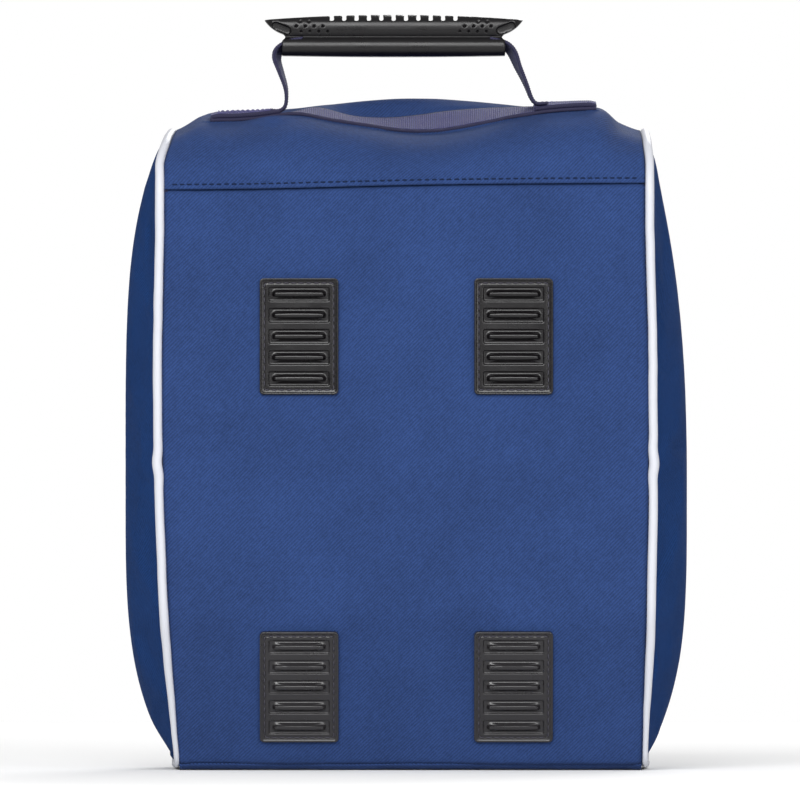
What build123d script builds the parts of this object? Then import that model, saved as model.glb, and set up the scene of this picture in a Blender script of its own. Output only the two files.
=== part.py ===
from build123d import *

import os
from math import radians, tan

# Golf shoe bag, millimetres. +Z up, the rubber feet face -Y, the zipped lid faces +Y.
# The origin is on the floor under the middle of the bag.

# --- driving dimensions -------------------------------------------------------------
BACK_Y = -66.8  # outer face of the back panel, which carries the feet
FRONT_Y = 65.2  # outer face of the lid
SEAM_X = 126.0  # planes of the two side seams
WRAP_X = 123.5  # half width of the panels between the side seams
SHOULDER_Z = 312.0  # where the back turns into the top
CROWN_Z = 333.5  # top of the bag at the side seams
CROWN_RISE = 14.0  # how much higher the top is at mid width
KNEE_Z = 81.0  # where the lower back begins to lean under
KNEE_LEAN = 18.0  # degrees
BULGE = 20.5  # how far each side panel stands out past its seam
BULGE_Z = 150.0  # height of the fullest point of a side panel
CROSS_SEAM_Z = 304.0  # seam between back panel and top panel
BASE_SEAM_Z = 3.0  # seam between the upright panels and the base

SOLE_TRIM = 0.1  # cut off the base, so that the bag stands on a flat face

FABRIC = 1.2
LINING = 0.5
BOARD = 3.0
PLAY = 0.2  # space between neighbouring layers

PIPING_R = 2.4
BINDING_WIDTH = 8.0
BINDING_THICK = 2.4

ZIP_X = 103.5  # half width of the zip's path
ZIP_TOP = 286.0
ZIP_CORNER_R = 36.0
ZIP_GAP = 0.7  # half of the gap between the two coils
COIL_WIDTH = 1.6
COIL_HEIGHT = 1.8
TAPE_WIDTH = 12.0
TAPE_THICK = 0.7
TAPE_LOW_Z = 14.0
COIL_LOW_Z = 23.0
LID_HINGE_Z = 38.0
FABRIC_FROM_ZIP = 4.2  # from the zip's path to the cloth's folded edge
SLIDER_Z = 31.0

FOOT_WIDTH = 41.0
FOOT_HEIGHT = 60.5
FOOT_BASE = 1.7
FOOT_RIB_COUNT = 5
FOOT_RIB_PITCH = 11.0
FOOT_X = 55.8
FOOT_UPPER_Z = 226.0
FOOT_LOWER_Z = 44.0

WEB_WIDTH = 25.0
WEB_THICK = 1.8
WEB_Y = -16.0
WEB_LEFT_X = -102.0
WEB_RIGHT_X = 99.0
STRAP_LEFT_X = -64.0
STRAP_RIGHT_X = 65.0
PIVOT_Z = 346.5

GRIP_X = -6.6
GRIP_BOTTOM_Z = 372.0
GRIP_TOP_Z = 394.0
GRIP_CREASE_Z = 381.6
GRIP_DEPTH = 28.0
BARREL_HALF = 58.2
BEAK_HALF = 67.6
NOTCH_COUNT = 11
NOTCH_PITCH = 6.45
NOTCH_DEPTH = 3.2
STRAP_SLOT_Z = 377.6

os.makedirs("parts", exist_ok=True)


# --- shared shapes ------------------------------------------------------------------
def bag_corners(rise=0.0, base=0.0):
    """Corners of the bag's outline in the YZ plane, counter-clockwise from the lower back."""
    lean = (KNEE_Z - base) * tan(radians(KNEE_LEAN))
    return [
        Vector(BACK_Y + lean, base),
        Vector(FRONT_Y, base),
        Vector(FRONT_Y, SHOULDER_Z + 0.2 * rise),
        Vector(FRONT_Y - 22, CROWN_Z - 5.5 + 0.75 * rise),
        Vector(4, CROWN_Z + rise),
        Vector(BACK_Y + 22, CROWN_Z - 5.5 + 0.75 * rise),
        Vector(BACK_Y, SHOULDER_Z + 0.2 * rise),
        Vector(BACK_Y, KNEE_Z),
    ]


CORNER_RADII = [9.0, 12.0, 30.0, 30.0, 60.0, 30.0, 30.0, 40.0]


def inset_corners(corners, inset):
    """Move every edge of a convex counter-clockwise outline inwards."""
    moved = []
    for i, here in enumerate(corners):
        before = (here - corners[i - 1]).normalized()
        after = (corners[(i + 1) % len(corners)] - here).normalized()
        normals = Vector(-before.Y, before.X) + Vector(-after.Y, after.X)
        moved.append(here + normals * (inset / (1 + before.dot(after))))
    return moved


def scaled_corners(corners, scale):
    """Shrink an outline about the fullest point of the side panel."""
    middle = Vector(0, BULGE_Z)
    return [middle + (corner - middle) * scale for corner in corners]


def bag_core(inset):
    """The closed volume between the side seams, shrunk by inset. The top is crowned across."""
    sections = [(-SEAM_X, 0.0), (0.0, CROWN_RISE), (SEAM_X, 0.0)]
    with BuildPart() as core:
        for x, rise in sections:
            with BuildSketch(Plane.YZ.offset(x)):
                with BuildLine():
                    corners = inset_corners(bag_corners(rise, -SOLE_TRIM), inset)
                    FilletPolyline(*corners, radius=[r - inset for r in CORNER_RADII], close=True)
                make_face()
        loft()
    return core.part


def bulge_core(inset):
    """The closed volume of the right side panel's bulge, shrunk by inset."""
    seam = inset_corners(bag_corners(base=PIPING_R + 0.4), PIPING_R + 0.5)
    stations = [(0.0, 1.0), (0.33, 0.9), (0.62, 0.74), (0.86, 0.5), (1.0, 0.26)]
    with BuildPart() as core:
        for share, scale in stations:
            with BuildSketch(Plane.YZ.offset(SEAM_X + share * BULGE - inset)):
                with BuildLine():
                    corners = scaled_corners(inset_corners(seam, inset), scale)
                    radii = [(r - PIPING_R - 0.5 - inset) * scale for r in CORNER_RADII]
                    FilletPolyline(*corners, radius=radii, close=True)
                make_face()
        loft()
    return core.part


def save(builder, label):
    """Name a finished sub-part and write it."""
    builder.part.label = label
    export_step(builder.part, f"parts/{label}.step")


def slab(low, high):
    """A box between two corners, as centre and size."""
    centre = (Vector(*low) + Vector(*high)) * 0.5
    size = Vector(*high) - Vector(*low)
    return centre, size


def layer(outer, inner, low, high):
    """The skin between two cores inside a box: one panel of the bag."""
    centre, size = slab(low, high)
    with BuildPart() as skin:
        add(outer)
        add(inner, mode=Mode.SUBTRACT)
        with Locations(centre):
            Box(size.X, size.Y, size.Z, mode=Mode.INTERSECT)
    return skin.part


def arch_sketch(margin, low_z, plane):
    """The zip's outline, an upright rectangle with round top corners, grown by margin."""
    half = ZIP_X + margin
    top = ZIP_TOP + margin
    with BuildSketch(plane) as arch:
        with Locations((0, (low_z + top) / 2)):
            Rectangle(2 * half, top - low_z)
        fillet(arch.vertices().group_by(Axis.Y)[-1], ZIP_CORNER_R + margin)
    return arch.sketch


def front_plane(y):
    """A plane facing -Y at y: its extrusions grow towards the back panel."""
    return Plane.XZ.offset(-y)


fabric_out = bag_core(0)
fabric_in = bag_core(FABRIC)
FRONT_IN = FRONT_Y - FABRIC
LOW = 0.0
HIGH = 400.0

# --- outer panels -------------------------------------------------------------------
with BuildPart() as back_panel:
    add(layer(fabric_out, fabric_in, (-WRAP_X, -80, BASE_SEAM_Z), (WRAP_X, 0, CROSS_SEAM_Z)))
save(back_panel, "back_panel")

with BuildPart() as top_panel:
    add(layer(fabric_out, fabric_in, (-WRAP_X, -80, CROSS_SEAM_Z), (WRAP_X, 80, HIGH)))
save(top_panel, "top_panel")

with BuildPart() as bottom_panel:
    add(layer(fabric_out, fabric_in, (-WRAP_X, -80, LOW), (WRAP_X, 80, BASE_SEAM_Z)))
save(bottom_panel, "bottom_panel")

border_shell = layer(fabric_out, fabric_in, (-WRAP_X, 0, BASE_SEAM_Z), (WRAP_X, 80, CROSS_SEAM_Z))
lower_tab_z = TAPE_LOW_Z + 5
corner_z = ZIP_TOP - ZIP_CORNER_R


def border_piece(low, high):
    """The part of the front face outside the zip that lies in a box."""
    centre, size = slab(low, high)
    with BuildPart() as piece:
        add(border_shell)
        with BuildSketch(front_plane(FRONT_Y + 1)):
            add(arch_sketch(FABRIC_FROM_ZIP, lower_tab_z, Plane.XY))
        extrude(amount=FABRIC + 2, mode=Mode.SUBTRACT)
        with Locations(centre):
            Box(size.X, size.Y, size.Z, mode=Mode.INTERSECT)
    return piece.part


with BuildPart() as left_front_border:
    add(border_piece((-WRAP_X, 0, lower_tab_z), (0, 80, corner_z)))
save(left_front_border, "left_front_border")

with BuildPart() as right_front_border:
    add(border_piece((0, 0, lower_tab_z), (WRAP_X, 80, corner_z)))
save(right_front_border, "right_front_border")

with BuildPart() as top_front_border:
    add(border_piece((-WRAP_X, 0, corner_z), (WRAP_X, 80, CROSS_SEAM_Z)))
save(top_front_border, "top_front_border")

with BuildPart() as lower_front_border:
    add(border_piece((-WRAP_X, 0, BASE_SEAM_Z), (WRAP_X, 80, lower_tab_z)))
    with BuildSketch(front_plane(FRONT_Y)):
        with Locations((0, (lower_tab_z + LID_HINGE_Z) / 2 - 0.15)):
            Rectangle(2 * (ZIP_X - FABRIC_FROM_ZIP), LID_HINGE_Z - lower_tab_z - 0.3)
    extrude(amount=FABRIC)
save(lower_front_border, "lower_front_border")

bulge_out = bulge_core(0)
bulge_in = bulge_core(FABRIC)
with BuildPart() as right_side_panel:
    add(layer(bulge_out, bulge_in, (SEAM_X, -80, LOW), (200, 80, HIGH)))
save(right_side_panel, "right_side_panel")

with BuildPart() as left_side_panel:
    add(right_side_panel.part)
    mirror(about=Plane.YZ, mode=Mode.REPLACE)
save(left_side_panel, "left_side_panel")

# --- piping and seam binding --------------------------------------------------------
piping_line = inset_corners(bag_corners(base=PIPING_R), 0.4)
with BuildSketch(Plane.YZ.offset(SEAM_X)) as piping_outline:
    with BuildLine():
        FilletPolyline(*piping_line, radius=[r - 0.4 for r in CORNER_RADII], close=True)
    make_face()
piping_path = piping_outline.sketch.face().outer_wire()
with BuildPart() as right_piping:
    with BuildSketch(Plane(origin=piping_path @ 0, z_dir=piping_path % 0)):
        Circle(PIPING_R)
    sweep(path=piping_path)
save(right_piping, "right_piping")

with BuildPart() as left_piping:
    add(right_piping.part)
    mirror(about=Plane.YZ, mode=Mode.REPLACE)
save(left_piping, "left_piping")

with BuildPart() as right_seam_binding:
    with BuildSketch(Plane.YZ.offset(SEAM_X - 1.8 - BINDING_THICK)):
        for inset, mode in ((5.0, Mode.ADD), (5.0 + BINDING_WIDTH, Mode.SUBTRACT)):
            with BuildLine():
                corners = inset_corners(bag_corners(), inset)
                FilletPolyline(*corners, radius=[max(r - inset, 1) for r in CORNER_RADII], close=True)
            make_face(mode=mode)
    extrude(amount=BINDING_THICK)
save(right_seam_binding, "right_seam_binding")

with BuildPart() as left_seam_binding:
    add(right_seam_binding.part)
    mirror(about=Plane.YZ, mode=Mode.REPLACE)
save(left_seam_binding, "left_seam_binding")

# --- boards and lining --------------------------------------------------------------
board_out = bag_core(FABRIC + PLAY)
board_in = bag_core(FABRIC + PLAY + BOARD)
lining_out = bag_core(FABRIC + 2 * PLAY + BOARD)
lining_in = bag_core(FABRIC + 2 * PLAY + BOARD + LINING)
BOARD_X = 112.0
LINING_X = 119.0

with BuildPart() as back_board:
    add(layer(board_out, board_in, (-BOARD_X, -80, 10), (BOARD_X, 0, 298)))
save(back_board, "back_board")

with BuildPart() as base_board:
    add(layer(board_out, board_in, (-BOARD_X, -26, LOW), (BOARD_X, 50, 6)))
save(base_board, "base_board")

with BuildPart() as back_lining:
    add(layer(lining_out, lining_in, (-LINING_X, -80, 12), (LINING_X, 0, CROSS_SEAM_Z)))
save(back_lining, "back_lining")

with BuildPart() as base_lining:
    add(layer(lining_out, lining_in, (-LINING_X, -24, LOW), (LINING_X, 48, 7)))
save(base_lining, "base_lining")

with BuildPart() as top_lining:
    add(layer(bag_core(FABRIC + PLAY), bag_core(FABRIC + PLAY + LINING),
              (-LINING_X, -80, CROSS_SEAM_Z + 1), (LINING_X, 80, HIGH)))
save(top_lining, "top_lining")

with BuildPart() as right_side_lining:
    add(layer(bulge_core(FABRIC + PLAY), bulge_core(FABRIC + PLAY + LINING),
              (SEAM_X - 1, -80, LOW), (200, 80, HIGH)))
save(right_side_lining, "right_side_lining")

with BuildPart() as left_side_lining:
    add(right_side_lining.part)
    mirror(about=Plane.YZ, mode=Mode.REPLACE)
save(left_side_lining, "left_side_lining")

# --- lid ----------------------------------------------------------------------------
lid_low_z = LID_HINGE_Z + 0.3
with BuildPart() as lid_panel:
    with BuildSketch(front_plane(FRONT_Y)):
        add(arch_sketch(-FABRIC_FROM_ZIP, lid_low_z, Plane.XY))
    extrude(amount=FABRIC)
save(lid_panel, "lid_panel")

BOARD_MARGIN = TAPE_WIDTH + 1.5
with BuildPart() as lid_board:
    with BuildSketch(front_plane(FRONT_IN - PLAY)):
        add(arch_sketch(-BOARD_MARGIN, lid_low_z + 4, Plane.XY))
    extrude(amount=2.4)
save(lid_board, "lid_board")

with BuildPart() as lid_lining:
    with BuildSketch(front_plane(FRONT_IN - PLAY - 2.6)):
        add(arch_sketch(-FABRIC_FROM_ZIP, lid_low_z + 1, Plane.XY))
    extrude(amount=LINING)
save(lid_lining, "lid_lining")


# --- zip ----------------------------------------------------------------------------
def zip_band(outer, inner, low_z, y, thickness):
    """A band that follows the zip's path between two margins."""
    with BuildPart() as band:
        with BuildSketch(front_plane(y)):
            add(arch_sketch(outer, low_z, Plane.XY))
            add(arch_sketch(inner, low_z - 5, Plane.XY), mode=Mode.SUBTRACT)
        extrude(amount=thickness)
    return band.part


def lower_runs(near, far, low_z, high_z, y, thickness):
    """The two short straight stretches of the lid's half that stay below the hinge."""
    with BuildPart() as runs:
        with BuildSketch(front_plane(y)):
            for side in (-1, 1):
                with Locations((side * (ZIP_X - (near + far) / 2), (low_z + high_z) / 2)):
                    Rectangle(far - near, high_z - low_z)
        extrude(amount=thickness)
    return runs.part


tape_y = FRONT_IN - 0.1
coil_y = FRONT_IN + COIL_HEIGHT
coil_far = ZIP_GAP + COIL_WIDTH
tape_high_z = LID_HINGE_Z - 0.5
coil_high_z = LID_HINGE_Z - 1.5

with BuildPart() as zip_tape_frame:
    add(zip_band(TAPE_WIDTH, ZIP_GAP, TAPE_LOW_Z, tape_y, TAPE_THICK))
    add(lower_runs(ZIP_GAP, TAPE_WIDTH, TAPE_LOW_Z, tape_high_z, tape_y, TAPE_THICK))
    add(lower_runs(-1, 1, TAPE_LOW_Z, COIL_LOW_Z - 3, tape_y, TAPE_THICK))
save(zip_tape_frame, "zip_tape_frame")

with BuildPart() as zip_tape_lid:
    add(zip_band(-ZIP_GAP, -TAPE_WIDTH, lid_low_z + 0.3, tape_y, TAPE_THICK))
save(zip_tape_lid, "zip_tape_lid")

with BuildPart() as zip_coil_frame:
    add(zip_band(coil_far, ZIP_GAP, COIL_LOW_Z, coil_y, COIL_HEIGHT))
    add(lower_runs(ZIP_GAP, coil_far, COIL_LOW_Z, coil_high_z, coil_y, COIL_HEIGHT))
save(zip_coil_frame, "zip_coil_frame")

with BuildPart() as zip_coil_lid:
    add(zip_band(-ZIP_GAP, -coil_far, lid_low_z + 1.2, coil_y, COIL_HEIGHT))
save(zip_coil_lid, "zip_coil_lid")

with BuildPart() as zip_end_stops:
    for side in (-1, 1):
        with Locations((side * ZIP_X, FRONT_IN + 1.1, COIL_LOW_Z - 1.8)):
            Box(5.4, 2.2, 3.0)
    fillet(zip_end_stops.edges().filter_by(Axis.X), 0.6)
save(zip_end_stops, "zip_end_stops")

# --- sliders and pulls --------------------------------------------------------------
SLIDER_LENGTH = 11.0
SLIDER_WIDTH = 7.0
PLATE = 1.1
CROWN_HEIGHT = 3.0
PULL_ROD_R = 0.55
plate_y = coil_y + 0.3
crown_y = plate_y + PLATE
rod_y = crown_y + 1.1
rod_z = SLIDER_Z + 2.2


def make_slider(x):
    """A zip slider round both coils: two plates, a post between the coils, flanges, a crown."""
    with BuildPart() as slider:
        with Locations((x, plate_y + PLATE / 2, SLIDER_Z)):
            Box(SLIDER_WIDTH, PLATE, SLIDER_LENGTH)
        fillet(slider.edges().filter_by(Axis.Y), 2.4)
        with Locations((x, tape_y - TAPE_THICK - 0.3 - PLATE / 2, SLIDER_Z)):
            Box(SLIDER_WIDTH, PLATE, SLIDER_LENGTH)
        for side in (-1, 1):
            with Locations((x + side * 3.05, (plate_y + tape_y + 0.3) / 2, SLIDER_Z - 0.3)):
                Box(0.9, plate_y - tape_y - 0.3, SLIDER_LENGTH - 4.6)
        with Locations((x, (plate_y + tape_y - TAPE_THICK - 0.3) / 2, SLIDER_Z + 2.4)):
            Box(0.8, plate_y - tape_y + TAPE_THICK + 0.5, 4.0)
        with BuildSketch(Plane.YZ.offset(x - 0.9)):
            with Locations((crown_y - 0.1, SLIDER_Z + 0.4)):
                Rectangle(2 * CROWN_HEIGHT + 0.2, 8.2)
                Rectangle(2 * (CROWN_HEIGHT - 0.9), 6.4, mode=Mode.SUBTRACT)
            with Locations((crown_y - 5, SLIDER_Z)):
                Rectangle(10, 20, mode=Mode.SUBTRACT)
        extrude(amount=1.8)
    return slider.part


def make_pull(x):
    """A pull that hangs from a slider: rod, two arms and a ribbed tab."""
    plane = Plane(origin=(x, rod_y - 0.55, 0), x_dir=(1, 0, 0), z_dir=(0, -1, 0))
    tab_low_z = 8.0
    with BuildPart() as pull:
        with BuildSketch(plane):
            with Locations((0, (rod_z + tab_low_z) / 2)):
                RectangleRounded(5.6, rod_z - tab_low_z + 1.1, 0.9)
            with Locations((0, rod_z - 3.4)):
                RectangleRounded(3.4, 5.7, 0.6, mode=Mode.SUBTRACT)
            with Locations((0, tab_low_z + 2.4)):
                Circle(1.1, mode=Mode.SUBTRACT)
        extrude(amount=-1.1)
        with BuildSketch(Plane(origin=(x, rod_y + 0.55, 0), x_dir=(1, 0, 0), z_dir=(0, -1, 0))):
            with Locations((0, tab_low_z + 10.5)):
                with GridLocations(1, 2.0, 1, 5):
                    Rectangle(3.6, 0.8)
        extrude(amount=-0.3)
    return pull.part


for name, side in (("left", -1), ("right", 1)):
    with BuildPart() as slider_part:
        add(make_slider(side * ZIP_X))
    save(slider_part, f"slider_{name}")
    with BuildPart() as pull_part:
        add(make_pull(side * ZIP_X))
    save(pull_part, f"pull_{name}")


# --- rubber feet --------------------------------------------------------------------
def make_foot(plane):
    """A ribbed rubber patch: plate, raised rim, sewn groove, five pockets with a ridge each."""
    ribs = GridLocations(1, FOOT_RIB_PITCH, 1, FOOT_RIB_COUNT).locations
    with BuildPart() as foot:
        with BuildSketch(plane):
            RectangleRounded(FOOT_WIDTH, FOOT_HEIGHT, 2.2)
        extrude(amount=FOOT_BASE)
        with BuildSketch(plane.offset(FOOT_BASE)):
            RectangleRounded(FOOT_WIDTH, FOOT_HEIGHT, 2.2)
            RectangleRounded(FOOT_WIDTH - 2.0, FOOT_HEIGHT - 2.0, 1.4, mode=Mode.SUBTRACT)
        extrude(amount=0.5)
        with BuildSketch(plane.offset(FOOT_BASE)):
            RectangleRounded(FOOT_WIDTH - 4.2, FOOT_HEIGHT - 4.2, 1.2)
            RectangleRounded(FOOT_WIDTH - 5.8, FOOT_HEIGHT - 5.8, 0.8, mode=Mode.SUBTRACT)
        extrude(amount=-0.35, mode=Mode.SUBTRACT)
        with BuildSketch(plane.offset(FOOT_BASE)):
            with Locations(*ribs):
                RectangleRounded(31.5, 7.4, 0.8)
        extrude(amount=-0.9, mode=Mode.SUBTRACT)
        with BuildSketch(plane.offset(FOOT_BASE - 1.0)):
            with Locations(*ribs):
                RectangleRounded(28.0, 4.8, 0.5)
        extrude(amount=2.5, taper=32)
    return foot.part


def upper_plane(x):
    """Plane on the upright stretch of the back panel."""
    return Plane(origin=(x, BACK_Y - 0.05, FOOT_UPPER_Z), x_dir=(1, 0, 0), z_dir=(0, -1, 0))


def lower_plane(x):
    """Plane on the leaning stretch of the back panel."""
    lean = tan(radians(KNEE_LEAN))
    origin = (x, BACK_Y + (KNEE_Z - FOOT_LOWER_Z) * lean - 0.05, FOOT_LOWER_Z)
    return Plane(origin=origin, x_dir=(1, 0, 0), z_dir=(0, -1, -lean))


for row, place in (("upper", upper_plane), ("lower", lower_plane)):
    for name, side in (("left", -1), ("right", 1)):
        with BuildPart() as foot_part:
            add(make_foot(place(side * FOOT_X)))
        save(foot_part, f"foot_{row}_{name}")

# --- webbing on the top -------------------------------------------------------------
web_low_y = WEB_Y - WEB_WIDTH / 2
web_high_y = WEB_Y + WEB_WIDTH / 2
web_floor = bag_core(-PLAY)
web_ceiling = bag_core(-PLAY - WEB_THICK)
end_floor = bag_core(-2 * PLAY - WEB_THICK)
end_ceiling = bag_core(-2 * PLAY - 2 * WEB_THICK)

with BuildPart() as top_webbing:
    add(layer(web_ceiling, web_floor, (WEB_LEFT_X, web_low_y, 300), (WEB_RIGHT_X, web_high_y, HIGH)))
save(top_webbing, "top_webbing")

for name, low_x, high_x in (
    ("left", WEB_LEFT_X, STRAP_LEFT_X - 2),
    ("right", STRAP_RIGHT_X + 2, WEB_RIGHT_X),
):
    with BuildPart() as strap_end:
        add(layer(end_ceiling, end_floor, (low_x, web_low_y, 300), (high_x, web_high_y, HIGH)))
    save(strap_end, f"strap_end_{name}")

# --- handle -------------------------------------------------------------------------
strap_mid_z = 360.0
with BuildPart() as handle_strap:
    with BuildSketch(Plane.XZ.offset(-WEB_Y - WEB_WIDTH / 2)):
        with BuildLine():
            FilletPolyline(
                (STRAP_LEFT_X, PIVOT_Z),
                (STRAP_LEFT_X - 1.5, strap_mid_z),
                (GRIP_X - BARREL_HALF - 3.5, STRAP_SLOT_Z),
                (GRIP_X + BARREL_HALF + 3.5, STRAP_SLOT_Z),
                (STRAP_RIGHT_X - 3, strap_mid_z),
                (STRAP_RIGHT_X, PIVOT_Z),
                radius=[14, 2.5, 2.5, 30],
            )
            offset(amount=WEB_THICK / 2, side=Side.BOTH, closed=True, mode=Mode.REPLACE)
        make_face()
    extrude(amount=WEB_WIDTH)
    with BuildSketch(Plane.YZ.offset(-100)) as root_cut:
        for side in (-1, 1):
            with BuildLine():
                Polyline(
                    (WEB_Y + side * 2.5, PIVOT_Z - 2),
                    (WEB_Y + side * 20, PIVOT_Z - 2),
                    (WEB_Y + side * 20, PIVOT_Z + 30),
                    close=True,
                )
            make_face()
    extrude(amount=200, mode=Mode.SUBTRACT)
save(handle_strap, "handle_strap")


def barrel_section(y_scale):
    """The grip's cross-section: a wide lower lobe and a narrower upper band, with a crease between."""
    low_height = GRIP_CREASE_Z - GRIP_BOTTOM_Z + 1.2
    high_height = GRIP_TOP_Z - GRIP_CREASE_Z + 1.2
    with BuildSketch() as section:
        with Locations((WEB_Y, GRIP_BOTTOM_Z + low_height / 2)):
            RectangleRounded(GRIP_DEPTH * y_scale, low_height, 5.2)
        with Locations((WEB_Y, GRIP_TOP_Z - high_height / 2)):
            RectangleRounded((GRIP_DEPTH - 2.4) * y_scale, high_height, 6.2)
    return section.sketch


with BuildPart() as handle_grip:
    # side outline: crowned top, pointed beaks, undercut, barrel
    with BuildSketch(Plane.XZ.offset(-WEB_Y - GRIP_DEPTH)):
        with BuildLine():
            top = ThreePointArc(
                (GRIP_X - BEAK_HALF, GRIP_TOP_Z - 2.7),
                (GRIP_X, GRIP_TOP_Z),
                (GRIP_X + BEAK_HALF, GRIP_TOP_Z - 2.7),
            )
            beaks = []
            for side in (-1, 1):
                beaks.append(
                    ThreePointArc(
                        (GRIP_X + side * BEAK_HALF, GRIP_TOP_Z - 2.7),
                        (GRIP_X + side * (BEAK_HALF - 4.2), GRIP_TOP_Z - 7.2),
                        (GRIP_X + side * (BARREL_HALF - 0.6), GRIP_CREASE_Z + 2.2),
                    )
                )
                Line(beaks[-1] @ 1, (GRIP_X + side * (BARREL_HALF - 2.0), GRIP_CREASE_Z + 0.6))
                Line(
                    (GRIP_X + side * (BARREL_HALF - 2.0), GRIP_CREASE_Z + 0.6),
                    (GRIP_X + side * BARREL_HALF, GRIP_CREASE_Z - 1.2),
                )
                Line(
                    (GRIP_X + side * BARREL_HALF, GRIP_CREASE_Z - 1.2),
                    (GRIP_X + side * BARREL_HALF, GRIP_BOTTOM_Z + 0.6),
                )
            ThreePointArc(
                (GRIP_X - BARREL_HALF, GRIP_BOTTOM_Z + 0.6),
                (GRIP_X, GRIP_BOTTOM_Z),
                (GRIP_X + BARREL_HALF, GRIP_BOTTOM_Z + 0.6),
            )
        make_face()
    extrude(amount=2 * GRIP_DEPTH)
    # cross-section
    with BuildSketch(Plane.YZ.offset(GRIP_X - BEAK_HALF - 5)):
        add(barrel_section(1.0))
    extrude(amount=2 * BEAK_HALF + 10, mode=Mode.INTERSECT)
    # plan outline: the beaks narrow to blunt points
    with BuildSketch(Plane.XY.offset(GRIP_BOTTOM_Z - 1)):
        with Locations((GRIP_X, WEB_Y)):
            RectangleRounded(2 * BEAK_HALF + 0.2, GRIP_DEPTH, 10)
    extrude(amount=30, mode=Mode.INTERSECT)
    # tunnel for the webbing
    with Locations((GRIP_X, WEB_Y, STRAP_SLOT_Z)):
        Box(2 * BEAK_HALF + 10, WEB_WIDTH + 0.8, WEB_THICK + 0.6, mode=Mode.SUBTRACT)
    # teeth: notches across the top
    notch_line = GridLocations(NOTCH_PITCH, 1, NOTCH_COUNT, 1).locations
    with BuildSketch(Plane.XZ.offset(-WEB_Y - GRIP_DEPTH)):
        with Locations((GRIP_X, GRIP_TOP_Z - NOTCH_DEPTH / 2 + 0.6)):
            with Locations(*notch_line):
                Trapezoid(2.5, NOTCH_DEPTH + 1.2, 97, rotation=180)
    extrude(amount=2 * GRIP_DEPTH, mode=Mode.SUBTRACT)
    # hollows under the beaks
    for side in (-1, 1):
        for face in (-1, 1):
            with BuildSketch(Plane.XZ.offset(-WEB_Y - face * (GRIP_DEPTH / 2 - 3.4))):
                with Locations((GRIP_X + side * (BARREL_HALF + 0.4), GRIP_TOP_Z - 7.2)):
                    SlotOverall(10.5, 4.2, rotation=side * 22)
            extrude(amount=-face * 8, mode=Mode.SUBTRACT)
    # dimples: two, four and four at each end, on both faces
    dimple_rows = [(48.8, 2, 390.4), (50.8, 4, 387.9), (48.3, 4, 385.3)]
    dimple_pitch = 4.6
    for side in (-1, 1):
        for first, count, z in dimple_rows:
            spots = [(GRIP_X + side * (first - i * dimple_pitch), z) for i in range(count)]
            for face in (-1, 1):
                with BuildSketch(Plane.XZ.offset(-WEB_Y - face * (GRIP_DEPTH / 2 - 2.6))):
                    with Locations(*spots):
                        Circle(0.7)
                extrude(amount=-face * 8, mode=Mode.SUBTRACT)
save(handle_grip, "handle_grip")
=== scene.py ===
import math

import bpy
import numpy as np
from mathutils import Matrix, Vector


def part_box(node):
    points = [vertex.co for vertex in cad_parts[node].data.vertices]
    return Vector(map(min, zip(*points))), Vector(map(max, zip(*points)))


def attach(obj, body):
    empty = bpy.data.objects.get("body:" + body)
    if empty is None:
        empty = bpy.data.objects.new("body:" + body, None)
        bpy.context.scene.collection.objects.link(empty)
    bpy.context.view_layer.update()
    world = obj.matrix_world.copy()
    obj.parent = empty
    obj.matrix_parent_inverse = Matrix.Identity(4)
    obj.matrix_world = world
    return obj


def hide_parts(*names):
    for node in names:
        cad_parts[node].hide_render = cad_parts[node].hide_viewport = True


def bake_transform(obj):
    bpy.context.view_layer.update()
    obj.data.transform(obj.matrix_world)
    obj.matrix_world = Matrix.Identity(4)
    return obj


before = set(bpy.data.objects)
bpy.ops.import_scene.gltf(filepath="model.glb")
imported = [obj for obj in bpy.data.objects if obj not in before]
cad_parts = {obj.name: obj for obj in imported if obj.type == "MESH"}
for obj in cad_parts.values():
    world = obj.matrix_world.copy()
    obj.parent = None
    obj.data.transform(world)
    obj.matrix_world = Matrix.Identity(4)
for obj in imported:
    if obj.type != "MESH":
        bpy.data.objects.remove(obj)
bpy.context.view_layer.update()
rng = np.random.default_rng(7)
MM = 0.001
scene = bpy.context.scene


# ---------------------------------------------------------------- frame measures
def low(node):
    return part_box(node)[0]


def high(node):
    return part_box(node)[1]


BACK_Y = low("back_panel").y
FRONT_Y = high("lid_panel").y
WRAP_X = high("back_panel").x
SEAM_X = WRAP_X + 2.5 * MM
SEAM_Z = high("back_panel").z
BASE_Z = high("bottom_panel").z
CROWN_Z = high("right_piping").z - 1.5 * MM
SHOULDER_Z = 312 * MM
KNEE_Z = 81 * MM
KNEE_LEAN = math.radians(18)
FABRIC = 1.2 * MM
HINGE_Z = low("lid_panel").z
COIL_WIDE = 1.6 * MM
ZIP_X = (high("zip_coil_lid").x + high("zip_coil_frame").x - COIL_WIDE) / 2
ZIP_TOP = high("zip_coil_frame").z - 2.3 * MM
ZIP_R = 36 * MM
WEB_Y = (low("top_webbing").y + high("top_webbing").y) / 2
WEB_HALF = (high("top_webbing").y - low("top_webbing").y) / 2
WEB_THICK = 1.8 * MM
RIB_PITCH = 1.1 * MM
PIPING_BASE = 2.4 * MM
CORNER_RADII = np.array([9, 12, 30, 30, 60, 30, 30, 40]) * MM
SIDES = (("left", -1), ("right", 1))
# far points on one side of the bag, to say which way a cloth faces
BEHIND = (0, -1, 0.15)
IN_FRONT = (0, 9, 0.15)
ABOVE = (0, 0, 1)
BELOW = (0, 0, -9)


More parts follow.
